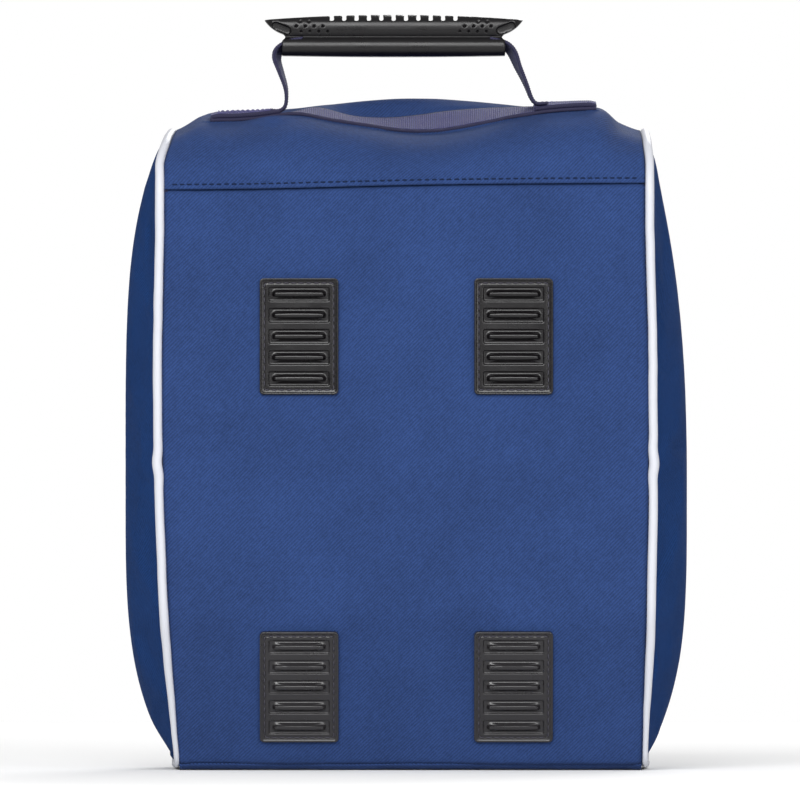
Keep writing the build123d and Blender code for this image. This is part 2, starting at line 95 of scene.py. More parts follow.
# ---------------------------------------------------------------- noise and curves
def smooth_noise(points, seed, size):
    """Smooth value noise in about -1 to 1 at points (... x 3), with features of a given size."""
    q = np.asarray(points, float) / size + seed * 17.31
    cell = np.floor(q).astype(int)
    f = q - cell
    f = f * f * (3 - 2 * f)
    total = np.zeros(q.shape[:-1])
    for corner in np.ndindex(2, 2, 2):
        c = cell + np.array(corner)
        h = (c[..., 0] * 73856093) ^ (c[..., 1] * 19349663) ^ (c[..., 2] * 83492791) ^ (seed * 2654435)
        value = ((h * 1103515245 + 12345) & 0x7FFFFFFF) / 0x3FFFFFFF - 1
        weight = np.prod(np.where(np.array(corner) == 1, f, 1 - f), axis=-1)
        total += value * weight
    return total


def step(a, b, x):
    """Smooth step from 0 at a to 1 at b."""
    t = np.clip((np.asarray(x, float) - a) / (b - a), 0, 1)
    return t * t * (3 - 2 * t)


def bump(x, centre, width):
    """Smooth hill of height 1."""
    return np.exp(-(((np.asarray(x, float) - centre) / width) ** 2))


def rounded(corners, radii, arc_steps=14):
    """A closed outline with round corners, as points (n x 2)."""
    points = []
    n = len(corners)
    for i in range(n):
        here = corners[i]
        a = corners[i - 1] - here
        b = corners[(i + 1) % n] - here
        a, b = a / np.linalg.norm(a), b / np.linalg.norm(b)
        half = math.acos(np.clip(a @ b, -1, 1)) / 2
        reach = radii[i] / math.tan(half)
        centre = here + (a + b) / np.linalg.norm(a + b) * radii[i] / math.sin(half)
        first, last = here + a * reach - centre, here + b * reach - centre
        start = math.atan2(first[1], first[0])
        turn = (math.atan2(last[1], last[0]) - start + math.pi) % (2 * math.pi) - math.pi
        for k in range(arc_steps + 1):
            angle = start + turn * k / arc_steps
            points.append(centre + radii[i] * np.array([math.cos(angle), math.sin(angle)]))
    return np.array(points)


def stacked(*parts):
    """Points from their coordinates, each a number or an array."""
    return np.stack(np.broadcast_arrays(*parts), axis=-1)


def arc_length(points):
    """How far along its line each point lies."""
    return np.concatenate([[0], np.cumsum(np.linalg.norm(np.diff(points, axis=0), axis=1))])


def points_at(t, s, points):
    """The points at lengths t along a line whose own points lie at lengths s."""
    return np.stack([np.interp(t, s, points[:, k]) for k in range(points.shape[1])], axis=-1)


def resample(points, count, closed=False):
    """The same line with evenly spaced points."""
    p = np.vstack([points, points[:1]]) if closed else np.asarray(points)
    s = arc_length(p)
    return points_at(np.linspace(0, s[-1], count, endpoint=not closed), s, p)


def curve_through(points, count):
    """A smooth open line through a few points (Catmull-Rom), evenly spaced."""
    p = np.asarray(points, float)
    p = np.vstack([2 * p[0] - p[1], p, 2 * p[-1] - p[-2]])
    fine = []
    for i in range(1, len(p) - 2):
        t = np.linspace(0, 1, 24, endpoint=False)[:, None]
        a, b, c, d = p[i - 1 : i + 3]
        fine.append(0.5 * (2 * b + (c - a) * t + (2 * a - 5 * b + 4 * c - d) * t**2
                           + (3 * b - a - 3 * c + d) * t**3))
    return resample(np.vstack(fine + [p[-2:-1]]), count)


# ---------------------------------------------------------------- the bag's own form
def bag_corners(rise=0.0, base=0.0):
    """Corners of the outline in the YZ plane, counter-clockwise from the lower back."""
    lean = (KNEE_Z - base) * math.tan(KNEE_LEAN)
    shoulder = SHOULDER_Z + 0.2 * rise
    flank = CROWN_Z - 5.5 * MM + 0.75 * rise
    return np.array([
        (BACK_Y + lean, base), (FRONT_Y, base), (FRONT_Y, shoulder), (FRONT_Y - 22 * MM, flank),
        (4 * MM, CROWN_Z + rise), (BACK_Y + 22 * MM, flank), (BACK_Y, shoulder), (BACK_Y, KNEE_Z),
    ])


def inset_corners(corners, inset):
    """Move every edge of a convex counter-clockwise outline inwards."""
    moved = []
    for i, here in enumerate(corners):
        a = here - corners[i - 1]
        b = corners[(i + 1) % len(corners)] - here
        a, b = a / np.linalg.norm(a), b / np.linalg.norm(b)
        normals = np.array([-a[1] - b[1], a[0] + b[0]])
        moved.append(here + normals * inset / (1 + a @ b))
    return np.array(moved)


def outline(rise=0.0, inset=0.0, base=0.0):
    return rounded(inset_corners(bag_corners(rise, base), inset), np.maximum(CORNER_RADII - inset, MM))


def even_outline(count, rise=0.0, inset=0.0, base=0.0):
    """The same outline with evenly spaced points."""
    return resample(outline(rise, inset, base), count, closed=True)


SHOULDER_RISE = 10.8 * MM
CROWN_RISE = 8.2 * MM
LEFT_FALL = 24 * MM
RIGHT_FALL = 34 * MM


def crown_rise(x):
    """How much higher the top stands at x than at the side seams: a low crown between square shoulders."""
    crown = SHOULDER_RISE + CROWN_RISE * bump(x, 4 * MM, 60 * MM)
    edge = WRAP_X + 4 * MM
    return crown * step(0, LEFT_FALL, edge + x) * step(0, RIGHT_FALL, edge - x)


def back_path(low_z, high_z, count):
    """The back face's line in YZ, from low_z up to high_z."""
    ring = even_outline(1200)
    back = ring[ring[:, 0] < 0]
    back = back[np.argsort(back[:, 1])]
    levels = np.linspace(low_z, high_z, count)
    return stacked(np.interp(levels, back[:, 1], back[:, 0]), levels)


def top_path(rise, cut_z, count):
    """The top's line in YZ, from the cross seam over to the front border."""
    ring = even_outline(1600, rise)
    start = int(np.argmin(ring[:, 1] + 1000 * (ring[:, 0] > 0)))
    ring = np.roll(ring, -start, axis=0)[::-1]
    top = ring[ring[:, 1] > cut_z]
    return resample(np.vstack([(top[0, 0], cut_z), top, (top[-1, 0], cut_z)]), count)


LEFT_FOOT_X = 120.5 * MM
RIGHT_FOOT_X = 125.0 * MM
SWOLLEN_Z = 195 * MM
SETTLED_Z = 290 * MM
TUCK_START_Z = 314 * MM
TUCK_END_Z = 337 * MM


def seam_reach(z, foot, swell, settle):
    """How far a side seam stands from the middle on the back: it swells halfway up and settles above."""
    rise = swell * np.sin(math.pi / 2 * np.clip(z / SWOLLEN_Z, 0, 1))
    return foot + rise - settle * step(SWOLLEN_Z, SETTLED_Z, z)


def seam_bow(points):
    """The side seams bow out on the back, and close in all round at the base and over the crown."""
    p = np.array(points, float)
    x, y, z = p[..., 0], p[..., 1], p[..., 2]
    left = seam_reach(z, LEFT_FOOT_X, 9.0 * MM, 1.2 * MM)
    right = seam_reach(z, RIGHT_FOOT_X, 3.6 * MM, 2.2 * MM)
    behind = 1 - step(-30 * MM, 50 * MM, y)
    at_base = (np.where(x < 0, LEFT_FOOT_X, RIGHT_FOOT_X) / SEAM_X - 1) * (1 - step(0, 60 * MM, z))
    scale = (np.where(x < 0, left, right) / SEAM_X - 1) * behind + at_base * (1 - behind)
    tuck = np.where(x < 0, 5.5 * MM, 1.8 * MM) / SEAM_X * step(TUCK_START_Z, TUCK_END_Z, z)
    p[..., 0] = x * (1 + scale - tuck)
    return p


# ---------------------------------------------------------------- mesh helpers
def new_piece(name, verts, faces, material, body, node=(), slot=None, uv=None):
    """A mesh object that rides on a CAD body and stands for CAD nodes."""
    mesh = bpy.data.meshes.new(name)
    mesh.from_pydata([tuple(v) for v in verts], [], [tuple(int(i) for i in f) for f in faces])
    if uv is not None:
        layer = mesh.uv_layers.new(name="cloth")
        loops = np.zeros(len(mesh.loops), int)
        mesh.loops.foreach_get("vertex_index", loops)
        layer.data.foreach_set("uv", np.asarray(uv, np.float32)[loops].ravel())
    mesh.materials.append(material)
    mesh.polygons.foreach_set("use_smooth", [True] * len(mesh.polygons))
    mesh.update()
    piece = bpy.data.objects.new(name, mesh)
    scene.collection.objects.link(piece)
    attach(piece, body)
    if node:
        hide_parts(*([node] if isinstance(node, str) else node))
    return piece


def grid_normals(grid):
    """Unit normals of a grid of points (n x m x 3)."""
    n = np.cross(np.gradient(grid, axis=1), np.gradient(grid, axis=0))
    return n / np.maximum(np.linalg.norm(n, axis=2, keepdims=True), 1e-12)


def normals_towards(grid, out):
    """The same normals, turned so that the middle one points to the side that the point out is on."""
    row, col = grid.shape[0] // 2, grid.shape[1] // 2
    normals = grid_normals(grid)
    return normals if normals[row, col] @ (np.asarray(out) - grid[row, col]) > 0 else -normals


def grid_faces(rows, cols, wrap=False, base=0, flip=False):
    """The four-sided faces of a grid whose points are numbered row by row from base."""
    quads = []
    for r in range(rows - 1):
        for c in range(cols if wrap else cols - 1):
            d = (c + 1) % cols
            here, above = base + r * cols, base + (r + 1) * cols
            q = [here + c, here + d, above + d, above + c]
            quads.append(q[::-1] if flip else q)
    return quads


def cloth_grid(name, grid, thick, material, body, node=(), slot=None, uv=None, out=None):
    """A closed sheet with thickness from a grid of outer points. out is a point that its face looks at."""
    rows, cols = grid.shape[:2]
    normals = grid_normals(grid)
    middle = grid[rows // 2, cols // 2]
    facing = (normals[rows // 2, cols // 2] @ (np.asarray(out) - middle)) > 0
    if not facing:
        normals = -normals
    inner = grid - normals * thick
    verts = np.vstack([grid.reshape(-1, 3), inner.reshape(-1, 3)])
    n = rows * cols
    faces = grid_faces(rows, cols, False, 0, not facing) + grid_faces(rows, cols, False, n, facing)
    rim = list(range(cols))
    rim += [r * cols + cols - 1 for r in range(1, rows)]
    rim += [(rows - 1) * cols + c for c in range(cols - 2, -1, -1)]
    rim += [r * cols for r in range(rows - 2, 0, -1)]
    for a, b in zip(rim, rim[1:] + rim[:1]):
        q = [b, a, a + n, b + n]
        faces.append(q[::-1] if not facing else q)
    if uv is None:
        uv = grid_uv(grid)
    both = np.vstack([uv.reshape(-1, 2), uv.reshape(-1, 2)])
    return new_piece(name, verts, faces, material, body, node, slot, both)


def grid_uv(grid):
    """Lengths along a grid's rows and columns, in metres, for a weave that follows the cloth."""
    du = np.linalg.norm(np.diff(grid, axis=1), axis=2)
    dv = np.linalg.norm(np.diff(grid, axis=0), axis=2)
    u = np.concatenate([np.zeros((grid.shape[0], 1)), np.cumsum(du, axis=1)], axis=1)
    u -= u[:, u.shape[1] // 2 : u.shape[1] // 2 + 1]
    v = np.concatenate([np.zeros((1, grid.shape[1])), np.cumsum(dv, axis=0)], axis=0)
    return np.stack([u, np.repeat(v.mean(1)[:, None], grid.shape[1], 1)], axis=2)


def frames_along(path, closed=False):
    """Side and normal at each point of a path."""
    path = np.asarray(path, float)
    if closed:
        tangent = np.roll(path, -1, axis=0) - np.roll(path, 1, axis=0)
    else:
        tangent = np.gradient(path, axis=0)
    tangent /= np.maximum(np.linalg.norm(tangent, axis=1, keepdims=True), 1e-12)
    normal = np.zeros_like(path)
    current = np.cross(tangent[0], [0.3, 0.5, 0.81])
    for i, t in enumerate(tangent):
        current = current - t * (current @ t)
        current /= np.linalg.norm(current)
        normal[i] = current
    return np.cross(tangent, normal), normal


def tube_mesh(path, radius, sides, closed=False):
    """Vertices and faces of a tube. radius is a number or one per point."""
    path = np.asarray(path, float)
    side, normal = frames_along(path, closed)
    radius = np.broadcast_to(np.asarray(radius, float), (len(path),))[:, None]
    rings = []
    for k in range(sides):
        a = 2 * math.pi * k / sides
        rings.append(path + side * radius * math.cos(a) + normal * radius * math.sin(a))
    verts = np.stack(rings, axis=1).reshape(-1, 3)
    faces = grid_faces(len(path), sides, wrap=True)
    if closed:
        last = (len(path) - 1) * sides
        faces += [[last + k, last + (k + 1) % sides, (k + 1) % sides, k] for k in range(sides)]
    else:
        faces.append(list(range(sides))[::-1])
        faces.append([(len(path) - 1) * sides + k for k in range(sides)])
    return verts, faces


def joined(parts):
    """Several (vertices, faces) pairs as one."""
    verts, faces, base = [], [], 0
    for v, f in parts:
        verts.append(v)
        faces += [[i + base for i in q] for q in f]
        base += len(v)
    return np.vstack(verts), faces


def stitches(name, path, body, material, pitch=3.8 * MM, length=3.0 * MM, r=0.32 * MM, normal=(0, -1, 0),
             closed=False, slot=None):
    """A row of sewn stitches: short rounded threads that dip into the cloth at both ends."""
    p = np.asarray(path, float)
    if closed:
        p = np.vstack([p, p[:1]])
    s = arc_length(p)
    count = max(1, int(s[-1] / pitch))
    normal = np.asarray(normal, float)
    many = normal.ndim == 2
    parts = []
    for i in range(count):
        middle = (i + 0.5) * s[-1] / count + rng.uniform(-0.1, 0.1) * MM
        t = middle + np.linspace(-0.5, 0.5, 7) * length * rng.uniform(0.94, 1.04)
        line = points_at(t, s, p)
        n = normal[min(len(normal) - 1, int(len(normal) * middle / s[-1]))] if many else normal
        dip = np.array([-1.1, -0.1, 0.45, 0.6, 0.45, -0.1, -1.1])[:, None]
        line = line + n / np.linalg.norm(n) * dip * r
        parts.append(tube_mesh(line, r * np.array([0.5, 0.9, 1, 1, 1, 0.9, 0.5]), sides=6))
    return new_piece(name, *joined(parts), material, body, (), slot)


# ---------------------------------------------------------------- materials
class Nodes:
    """A short way to write a node tree."""

    def __init__(self, name, roughness, specular, sheen=0.0):
        self.material = bpy.data.materials.new(name)
        self.material.use_nodes = True
        self.tree = self.material.node_tree
        self.shader = self.tree.nodes["Principled BSDF"]
        self.put(roughness, self.shader.inputs["Roughness"])
        self.put(specular, self.shader.inputs["Specular IOR Level"])
        self.put(sheen, self.shader.inputs["Sheen Weight"])
        self.put(0.45, self.shader.inputs["Sheen Roughness"])

    def node(self, kind, **values):
        n = self.tree.nodes.new(kind)
        for key, value in values.items():
            setattr(n, key, value)
        return n

    def put(self, value, socket):
        """Give a socket a number, a colour or another node's output."""
        if isinstance(value, (int, float)):
            socket.default_value = value
        elif isinstance(value, tuple):
            socket.default_value = (*value, 1)
        else:
            self.tree.links.new(value, socket)

    def math(self, operation, *values):
        n = self.node("ShaderNodeMath", operation=operation)
        for value, socket in zip(values, n.inputs):
            self.put(value, socket)
        return n.outputs[0]

    def weighted(self, *terms, offset=0.0):
        """The sum of values times their weights, plus an offset."""
        total = offset
        for value, weight in terms:
            total = self.math("MULTIPLY_ADD", value, weight, total)
        return total

    def wave(self, value, half_turns):
        """The sine of value times a number of half turns."""
        return self.math("SINE", self.math("MULTIPLY", value, half_turns * math.pi))

    def cloth_uv(self):
        uv = self.node("ShaderNodeUVMap", uv_map="cloth")
        split = self.node("ShaderNodeSeparateXYZ")
        self.put(uv.outputs[0], split.inputs[0])
        return split.outputs[0], split.outputs[1]

    def noise(self, size, detail):
        n = self.node("ShaderNodeTexNoise")
        n.inputs["Scale"].default_value = 1 / size
        n.inputs["Detail"].default_value = detail
        self.put(self.node("ShaderNodeTexCoord").outputs["Object"], n.inputs["Vector"])
        return n.outputs["Fac"]

    def mix(self, factor, a, b):
        n = self.node("ShaderNodeMix", data_type="RGBA")
        self.put(factor, n.inputs[0])
        self.put(a, n.inputs[6])
        self.put(b, n.inputs[7])
        return n.outputs[2]

    def finish(self, colour, height, distance, roughness=None):
        self.put(colour, self.shader.inputs["Base Color"])
        if roughness is not None:
            self.put(roughness, self.shader.inputs["Roughness"])
        b = self.node("ShaderNodeBump")
        b.inputs["Distance"].default_value = distance
        self.put(height, b.inputs["Height"])
        self.put(b.outputs[0], self.shader.inputs["Normal"])
        return self.material


def shade(colour, factor):
    return tuple(min(1.0, c * factor) for c in colour)


def twill_material(name, colour, pitch=0.5 * MM, contrast=0.85, depth=0.16 * MM, sheen=0.02, rough=0.8,
                   specular=0.09):
    """Woven polyester, two over two: threads, the diagonal they make, slubs and slow colour drift. The
    threads' tone follows their height: painted shade in the gaps between threads.
    """
    m = Nodes(name, rough, specular=specular, sheen=sheen)
    u, v = m.cloth_uv()
    u, v = m.math("DIVIDE", u, pitch), m.math("DIVIDE", v, pitch)
    cell_u, cell_v = m.math("FLOOR", u), m.math("FLOOR", v)
    warp, weft = m.wave(m.math("FRACT", u), 1), m.wave(m.math("FRACT", v), 1)
    diagonal = m.math("PINGPONG", m.weighted((u, 0.5), (v, -0.5)), 1.0)
    over = m.math("SMOOTH_MIN", m.math("MULTIPLY", diagonal, 1.4), 1.0, 0.2)
    thread = m.math("ADD", m.math("MULTIPLY", warp, over),
                    m.math("MULTIPLY", weft, m.math("SUBTRACT", 1.0, over)))
    cell = m.node("ShaderNodeCombineXYZ")
    m.put(cell_u, cell.inputs[0])
    m.put(cell_v, cell.inputs[1])
    slub = m.node("ShaderNodeTexWhiteNoise", noise_dimensions="2D")
    m.put(cell.outputs[0], slub.inputs["Vector"])
    drift = m.noise(38 * MM, 2.0)
    fuzz = m.noise(2.2 * MM, 3.0)
    # tone from thread height is painted shade in the gaps; slubs, fuzz and drift are random colour
    tone = m.weighted((thread, 0.55), (over, 0.28), (slub.outputs["Value"], 0.14), (fuzz, 0.35),
                      (drift, 0.3), offset=-0.325)
    woven = m.mix(tone, shade(colour, 1 - contrast), shade(colour, 1 + contrast))
    return m.finish(woven, thread, depth)


def ribbed_material(name, colour, pitch, half_width):
    """Ribbed webbing: ribs across it, a darker braided selvedge along both edges. The ribs are lighter on
    their crests and darker between them: painted shade in the troughs.
    """
    m = Nodes(name, 0.72, specular=0.2, sheen=0.08)
    u, v = m.cloth_uv()
    rib = m.weighted((m.wave(m.math("DIVIDE", u, pitch), 2), 0.5), offset=0.5)
    yarn = m.wave(m.math("DIVIDE", v, 0.7 * MM), 2)
    edge = m.math("SUBTRACT", m.math("DIVIDE", m.math("ABSOLUTE", v), half_width), 0.87)
    edge = m.math("MINIMUM", m.math("MULTIPLY", m.math("MAXIMUM", edge, 0.0), 9.0), 1.0)
    # tone from rib and yarn height is painted shade in the troughs; the noise is random colour
    tone = m.weighted((rib, 0.6), (m.noise(1.2 * MM, 3.0), 0.5), (yarn, 0.12))
    face = m.mix(tone, shade(colour, 0.45), shade(colour, 1.5))
    both = m.mix(edge, face, shade(colour, 0.4))
    return m.finish(both, m.weighted((rib, 1.0), (yarn, 0.25)), 0.25 * MM)


def grained_material(name, colour, rough, grain, depth, specular=0.45, spread=0.25):
    """Moulded rubber, vinyl or plastic: fine grain, slow mottling, uneven gloss."""
    m = Nodes(name, rough, specular)
    fine = m.noise(grain, 4.0)
    slow = m.noise(14 * MM, 3.0)
    tone = m.weighted((fine, 0.5), (slow, 0.5))
    colours = m.mix(tone, shade(colour, 1 - spread), shade(colour, 1 + spread))
    gloss = m.weighted((slow, 0.22), offset=rough - 0.11)
    return m.finish(colours, fine, depth, roughness=gloss)


def metal_material(name, colour, rough):
    m = Nodes(name, rough, 0.5)
    m.shader.inputs["Metallic"].default_value = 0.85
    wear = m.noise(1.6 * MM, 4.0)
    worn = m.math("MULTIPLY", m.math("MAXIMUM", m.math("SUBTRACT", wear, 0.56), 0.0), 5.0)
    colours = m.mix(worn, colour, shade(colour, 2.2))
    gloss = m.weighted((wear, 0.25), offset=rough - 0.1)
    return m.finish(colours, wear, 0.02 * MM, roughness=gloss)


BLUE = (0.0165, 0.036, 0.112)
BLUE_CLOTH = twill_material("blue_twill", BLUE)
# the side panels get a darker copy of the main blue: painted shade for sides turned away from the frontal
# key light
SIDE_CLOTH_PAINTED_SHADE = twill_material("side_twill_painted_shade", (0.0095, 0.031, 0.108), contrast=0.7, sheen=0.0, specular=0.03)
LINING = twill_material("lining_cloth", (0.016, 0.022, 0.05), 0.25 * MM, 0.25, 0.04 * MM, 0.02, 0.5)
WEBBING = ribbed_material("webbing_rib", (0.034, 0.035, 0.135), RIB_PITCH, WEB_HALF)
BINDING = ribbed_material("binding_rib", (0.02, 0.022, 0.05), 0.8 * MM, 6 * MM)
ZIP_TAPE = ribbed_material("zip_tape_rib", (0.02, 0.034, 0.1), 0.6 * MM, 1.0)
ZIP_COIL = grained_material("zip_nylon", (0.02, 0.03, 0.085), 0.35, 1.2 * MM, 0.02 * MM)
PIPING = grained_material("white_vinyl", (0.47, 0.48, 0.52), 0.42, 0.5 * MM, 0.03 * MM, 0.3, spread=0.05)
GRIP = grained_material("grip_vinyl", (0.0026, 0.0022, 0.0028), 0.3, 0.5 * MM, 0.025 * MM, specular=0.3)
FOOT = grained_material("foot_rubber", (0.0028, 0.0022, 0.0029), 0.25, 0.45 * MM, 0.02 * MM, specular=0.38)
# a lighter copy of the foot rubber for the lower feet: painted reflection of the bright floor they lean
# towards
LOWER_FOOT_PAINTED_REFLECTION = grained_material("lower_foot_rubber_painted_reflection", (0.012, 0.011, 0.0125), 0.3, 0.45 * MM, 0.02 * MM, 0.5)
BOARD = grained_material("pressed_board", (0.3, 0.29, 0.27), 0.8, 1.0 * MM, 0.05 * MM)
METAL = metal_material("dark_enamel", (0.09, 0.09, 0.1), 0.32)
# the seam thread is made extra dark: partly real thread colour, partly painted shade of the dimples the
# stitches pull into the cloth
SEAM_THREAD_PAINTED_SHADE = grained_material("seam_thread_painted_shade", shade(BLUE, 0.4), 0.7, 0.3 * MM, 0.05 * MM, specular=0.1)
BLUE_THREAD = grained_material("blue_thread", shade(BLUE, 1.15), 0.6, 0.3 * MM, 0.05 * MM)
DARK_THREAD = grained_material("dark_thread", (0.03, 0.028, 0.04), 0.6, 0.3 * MM, 0.05 * MM)
WEB_THREAD = grained_material("web_thread", (0.06, 0.055, 0.16), 0.6, 0.3 * MM, 0.05 * MM)


# ---------------------------------------------------------------- camera, light, floor
# a long lens from far off, because the photo shows almost no perspective
IMAGE_CENTRE = Vector((-3.3 * MM, BACK_Y, 193.2 * MM))
FRAME_WIDTH = 416 * MM
CAMERA_DISTANCE = 12.0
camera_data = bpy.data.cameras.new("camera")
camera_data.sensor_width = 36
camera_data.lens = 36 * CAMERA_DISTANCE / FRAME_WIDTH
camera_data.clip_end = 100
camera = bpy.data.objects.new("camera", camera_data)
camera.location = IMAGE_CENTRE + Vector((0, -CAMERA_DISTANCE, 0))
camera.rotation_euler = (math.pi / 2, 0, 0)
scene.collection.objects.link(camera)
scene.camera = camera
scene.view_settings.view_transform = "Standard"


def area_light(name, place, size, power):
    data = bpy.data.lights.new(name, "AREA")
    data.shape = "DISK"
    data.size = size
    data.energy = power
    lamp = bpy.data.objects.new(name, data)
    lamp.location = place
    lamp.rotation_euler = (Vector((0, 0, 0.2)) - Vector(place)).to_track_quat("-Z", "Y").to_euler()
    scene.collection.objects.link(lamp)


# places in metres, sizes in metres, powers in watts
area_light("key", (-0.6, -3.0, 1.7), 2.0, 112)
area_light("fill", (1.2, -2.8, 0.9), 1.2, 32)
area_light("rear", (0.7, 2.7, 1.9), 1.4, 50)
# the surroundings are white behind the bag and grey everywhere else
world = bpy.data.worlds.new("studio")
world.use_nodes = True
tree = world.node_tree
direction = tree.nodes.new("ShaderNodeTexCoord")
towards_back = tree.nodes.new("ShaderNodeVectorMath")
towards_back.operation = "DOT_PRODUCT"
towards_back.inputs[1].default_value = (0, 1, 0)
tree.links.new(direction.outputs["Generated"], towards_back.inputs[0])
white_wall = tree.nodes.new("ShaderNodeMapRange")
white_wall.interpolation_type = "SMOOTHSTEP"
for socket, value in (("From Min", 0.9), ("From Max", 0.99), ("To Min", 0.52), ("To Max", 1.0)):
    white_wall.inputs[socket].default_value = value
tree.links.new(towards_back.outputs["Value"], white_wall.inputs["Value"])
tree.nodes["Background"].inputs[0].default_value = (1, 1, 1, 1)
tree.links.new(white_wall.outputs[0], tree.nodes["Background"].inputs[1])
scene.world = world

floor_mesh = bpy.data.meshes.new("floor")
FLOOR_HALF = 1.7
floor_corners = [(FLOOR_HALF * x, FLOOR_HALF * y, 0) for x, y in ((-1, -1), (1, -1), (1, 1), (-1, 1))]
floor_mesh.from_pydata(floor_corners, [], [(0, 1, 2, 3)])
PALE_FLOOR = grained_material("pale_floor", (0.82, 0.82, 0.82), 0.9, 20 * MM, 0, 0.1, spread=0.01)
floor_mesh.materials.append(PALE_FLOOR)
floor = bpy.data.objects.new("floor", floor_mesh)
scene.collection.objects.link(floor)


# ---------------------------------------------------------------- cloth simulation
SETTLING_FRAMES = 18
CLOTH_STIFFNESS = 25


def relaxed(grid, growth, pressure, cap):
    """Cloth a little larger than its frame, blown out gently with its edges held, so that it folds."""
    rows, cols = grid.shape[:2]
    held = np.ones((rows, cols), bool)
    held[1:-1, 1:-1] = False
    mesh = bpy.data.meshes.new("relaxing")
    mesh.from_pydata([tuple(p) for p in grid.reshape(-1, 3)], [], grid_faces(rows, cols))
    piece = bpy.data.objects.new("relaxing", mesh)
    scene.collection.objects.link(piece)
    group = piece.vertex_groups.new(name="held")
    group.add([int(i) for i in np.flatnonzero(held)], 1.0, "REPLACE")
    cloth = piece.modifiers.new("cloth", "CLOTH")
    settings = cloth.settings
    settings.quality = 6
    settings.mass = 0.15
    settings.tension_stiffness = settings.compression_stiffness = CLOTH_STIFFNESS
    settings.shear_stiffness = 12
    settings.bending_stiffness = 0.6
    settings.vertex_group_mass = "held"
    settings.use_pressure = True
    settings.uniform_pressure_force = pressure
    settings.shrink_min = -growth
    settings.effector_weights.gravity = 0
    for number in range(1, SETTLING_FRAMES + 1):
        scene.frame_set(number)
    shaped = piece.evaluated_get(bpy.context.evaluated_depsgraph_get()).to_mesh()
    points = np.zeros(rows * cols * 3)
    shaped.vertices.foreach_get("co", points)
    move = points.reshape(grid.shape) - grid
    far = np.linalg.norm(move, axis=2, keepdims=True)
    move *= np.minimum(1, cap / np.maximum(far, 1e-9))
    bpy.data.objects.remove(piece)
    bpy.data.meshes.remove(mesh)
    scene.frame_set(1)
    return grid + move


# ---------------------------------------------------------------- back panel
def blue_cloth(name, grid, node, out, body="root", thick=FABRIC):
    """A piece of the bag's main cloth."""
    return cloth_grid(name, grid, thick, BLUE_CLOTH, body, node, "body_fabric", out=out)


def along_x(path_at, xs):
    """A grid of points from a line in YZ at each x."""
    return np.stack([stacked(x, *path_at(x).T) for x in xs], axis=1)


def seam_pull(x, reach=9 * MM):
    """1 in the cloth's middle, falling to 0 at the side seams."""
    return step(0, reach, WRAP_X - np.abs(x))


def seam_z(x):
    """Height of the cross seam: it climbs a little from left to right."""
    return SEAM_Z + (-1.6 + 3.4 * step(-0.12, 0.12, x) + 0.6 * bump(x, 0, 60 * MM)) * MM


xs_wrap = np.linspace(-WRAP_X, WRAP_X, 140)
back_grid = along_x(lambda x: back_path(BASE_Z, SEAM_Z + 2.5 * MM, 200), xs_wrap)
x, z = back_grid[..., 0], back_grid[..., 2]
slack = smooth_noise(back_grid * [1, 0, 1], 3, 70 * MM) * 0.9
slack += smooth_noise(back_grid * [1, 0, 0.6], 5, 28 * MM) * 0.35
slack += smooth_noise(back_grid * [1, 0, 0.35], 9, 11 * MM) * 0.1
FLAT_BY_FEET = 12 * MM
near_feet = np.zeros_like(x)
for foot in ("foot_upper_left", "foot_upper_right", "foot_lower_left", "foot_lower_right"):
    a, b = low(foot), high(foot)
    off_x = np.maximum(a.x - x, x - b.x)
    off_z = np.maximum(a.z - z, z - b.z)
    inside = (1 - step(0, FLAT_BY_FEET, off_x)) * (1 - step(0, FLAT_BY_FEET, off_z))
    near_feet = np.maximum(near_feet, inside)
slack = (slack - 0.2) * MM * (1 - near_feet) * seam_pull(x) * (0.1 + 0.9 * step(0, 24 * MM, SEAM_Z - z))
pucker = np.sin(x / (4.1 * MM) + 2 * smooth_noise(back_grid * [1, 0, 0], 4, 15 * MM))
slack += 0.12 * MM * pucker * bump(z, SEAM_Z - 5 * MM, 5 * MM) * seam_pull(x)
tuck = 2.2 * MM * (1 - step(-1.2 * MM, 2.2 * MM, SEAM_Z - z)) + 0.8 * MM * (1 - seam_pull(x, 3.0 * MM))
back_grid = back_grid + normals_towards(back_grid, BEHIND) * (slack - tuck)[..., None]
back_grid[..., 2] += (seam_z(back_grid[..., 0]) - SEAM_Z) * step(SEAM_Z - 60 * MM, SEAM_Z, z)
back_grid = seam_bow(back_grid)
blue_cloth("back_panel_cloth", back_grid, "back_panel", BEHIND)


# ---------------------------------------------------------------- top panel
def strip_front(x):
    """Height of the webbing's nearer edge: it sags between the two ends of the handle."""
    sag = 9.6 * bump(x, 12 * MM, 42 * MM)
    lifted = 2.6 * bump(x, -58 * MM, 14 * MM)
    return (343.0 - sag + lifted) * MM + 0.032 * x


def strip_rear(x):
    """Height of its farther edge."""
    sag = 3.6 * bump(x, -10 * MM, 26 * MM)
    lifted = 3.4 * bump(x, -47 * MM, 12 * MM)
    return (344.5 - sag + lifted) * MM + 0.03 * x


def smoothed(values, passes):
    """The same values with their steps evened out."""
    v = np.array(values, float)
    for _ in range(passes):
        v[1:-1] = 0.25 * v[:-2] + 0.5 * v[1:-1] + 0.25 * v[2:]
    return v


# the webbing's two edges along its length
STRIP_X = np.linspace(low("top_webbing").x, high("top_webbing").x, 240)
STRIP_FRONT, STRIP_REAR = strip_front(STRIP_X), strip_rear(STRIP_X)


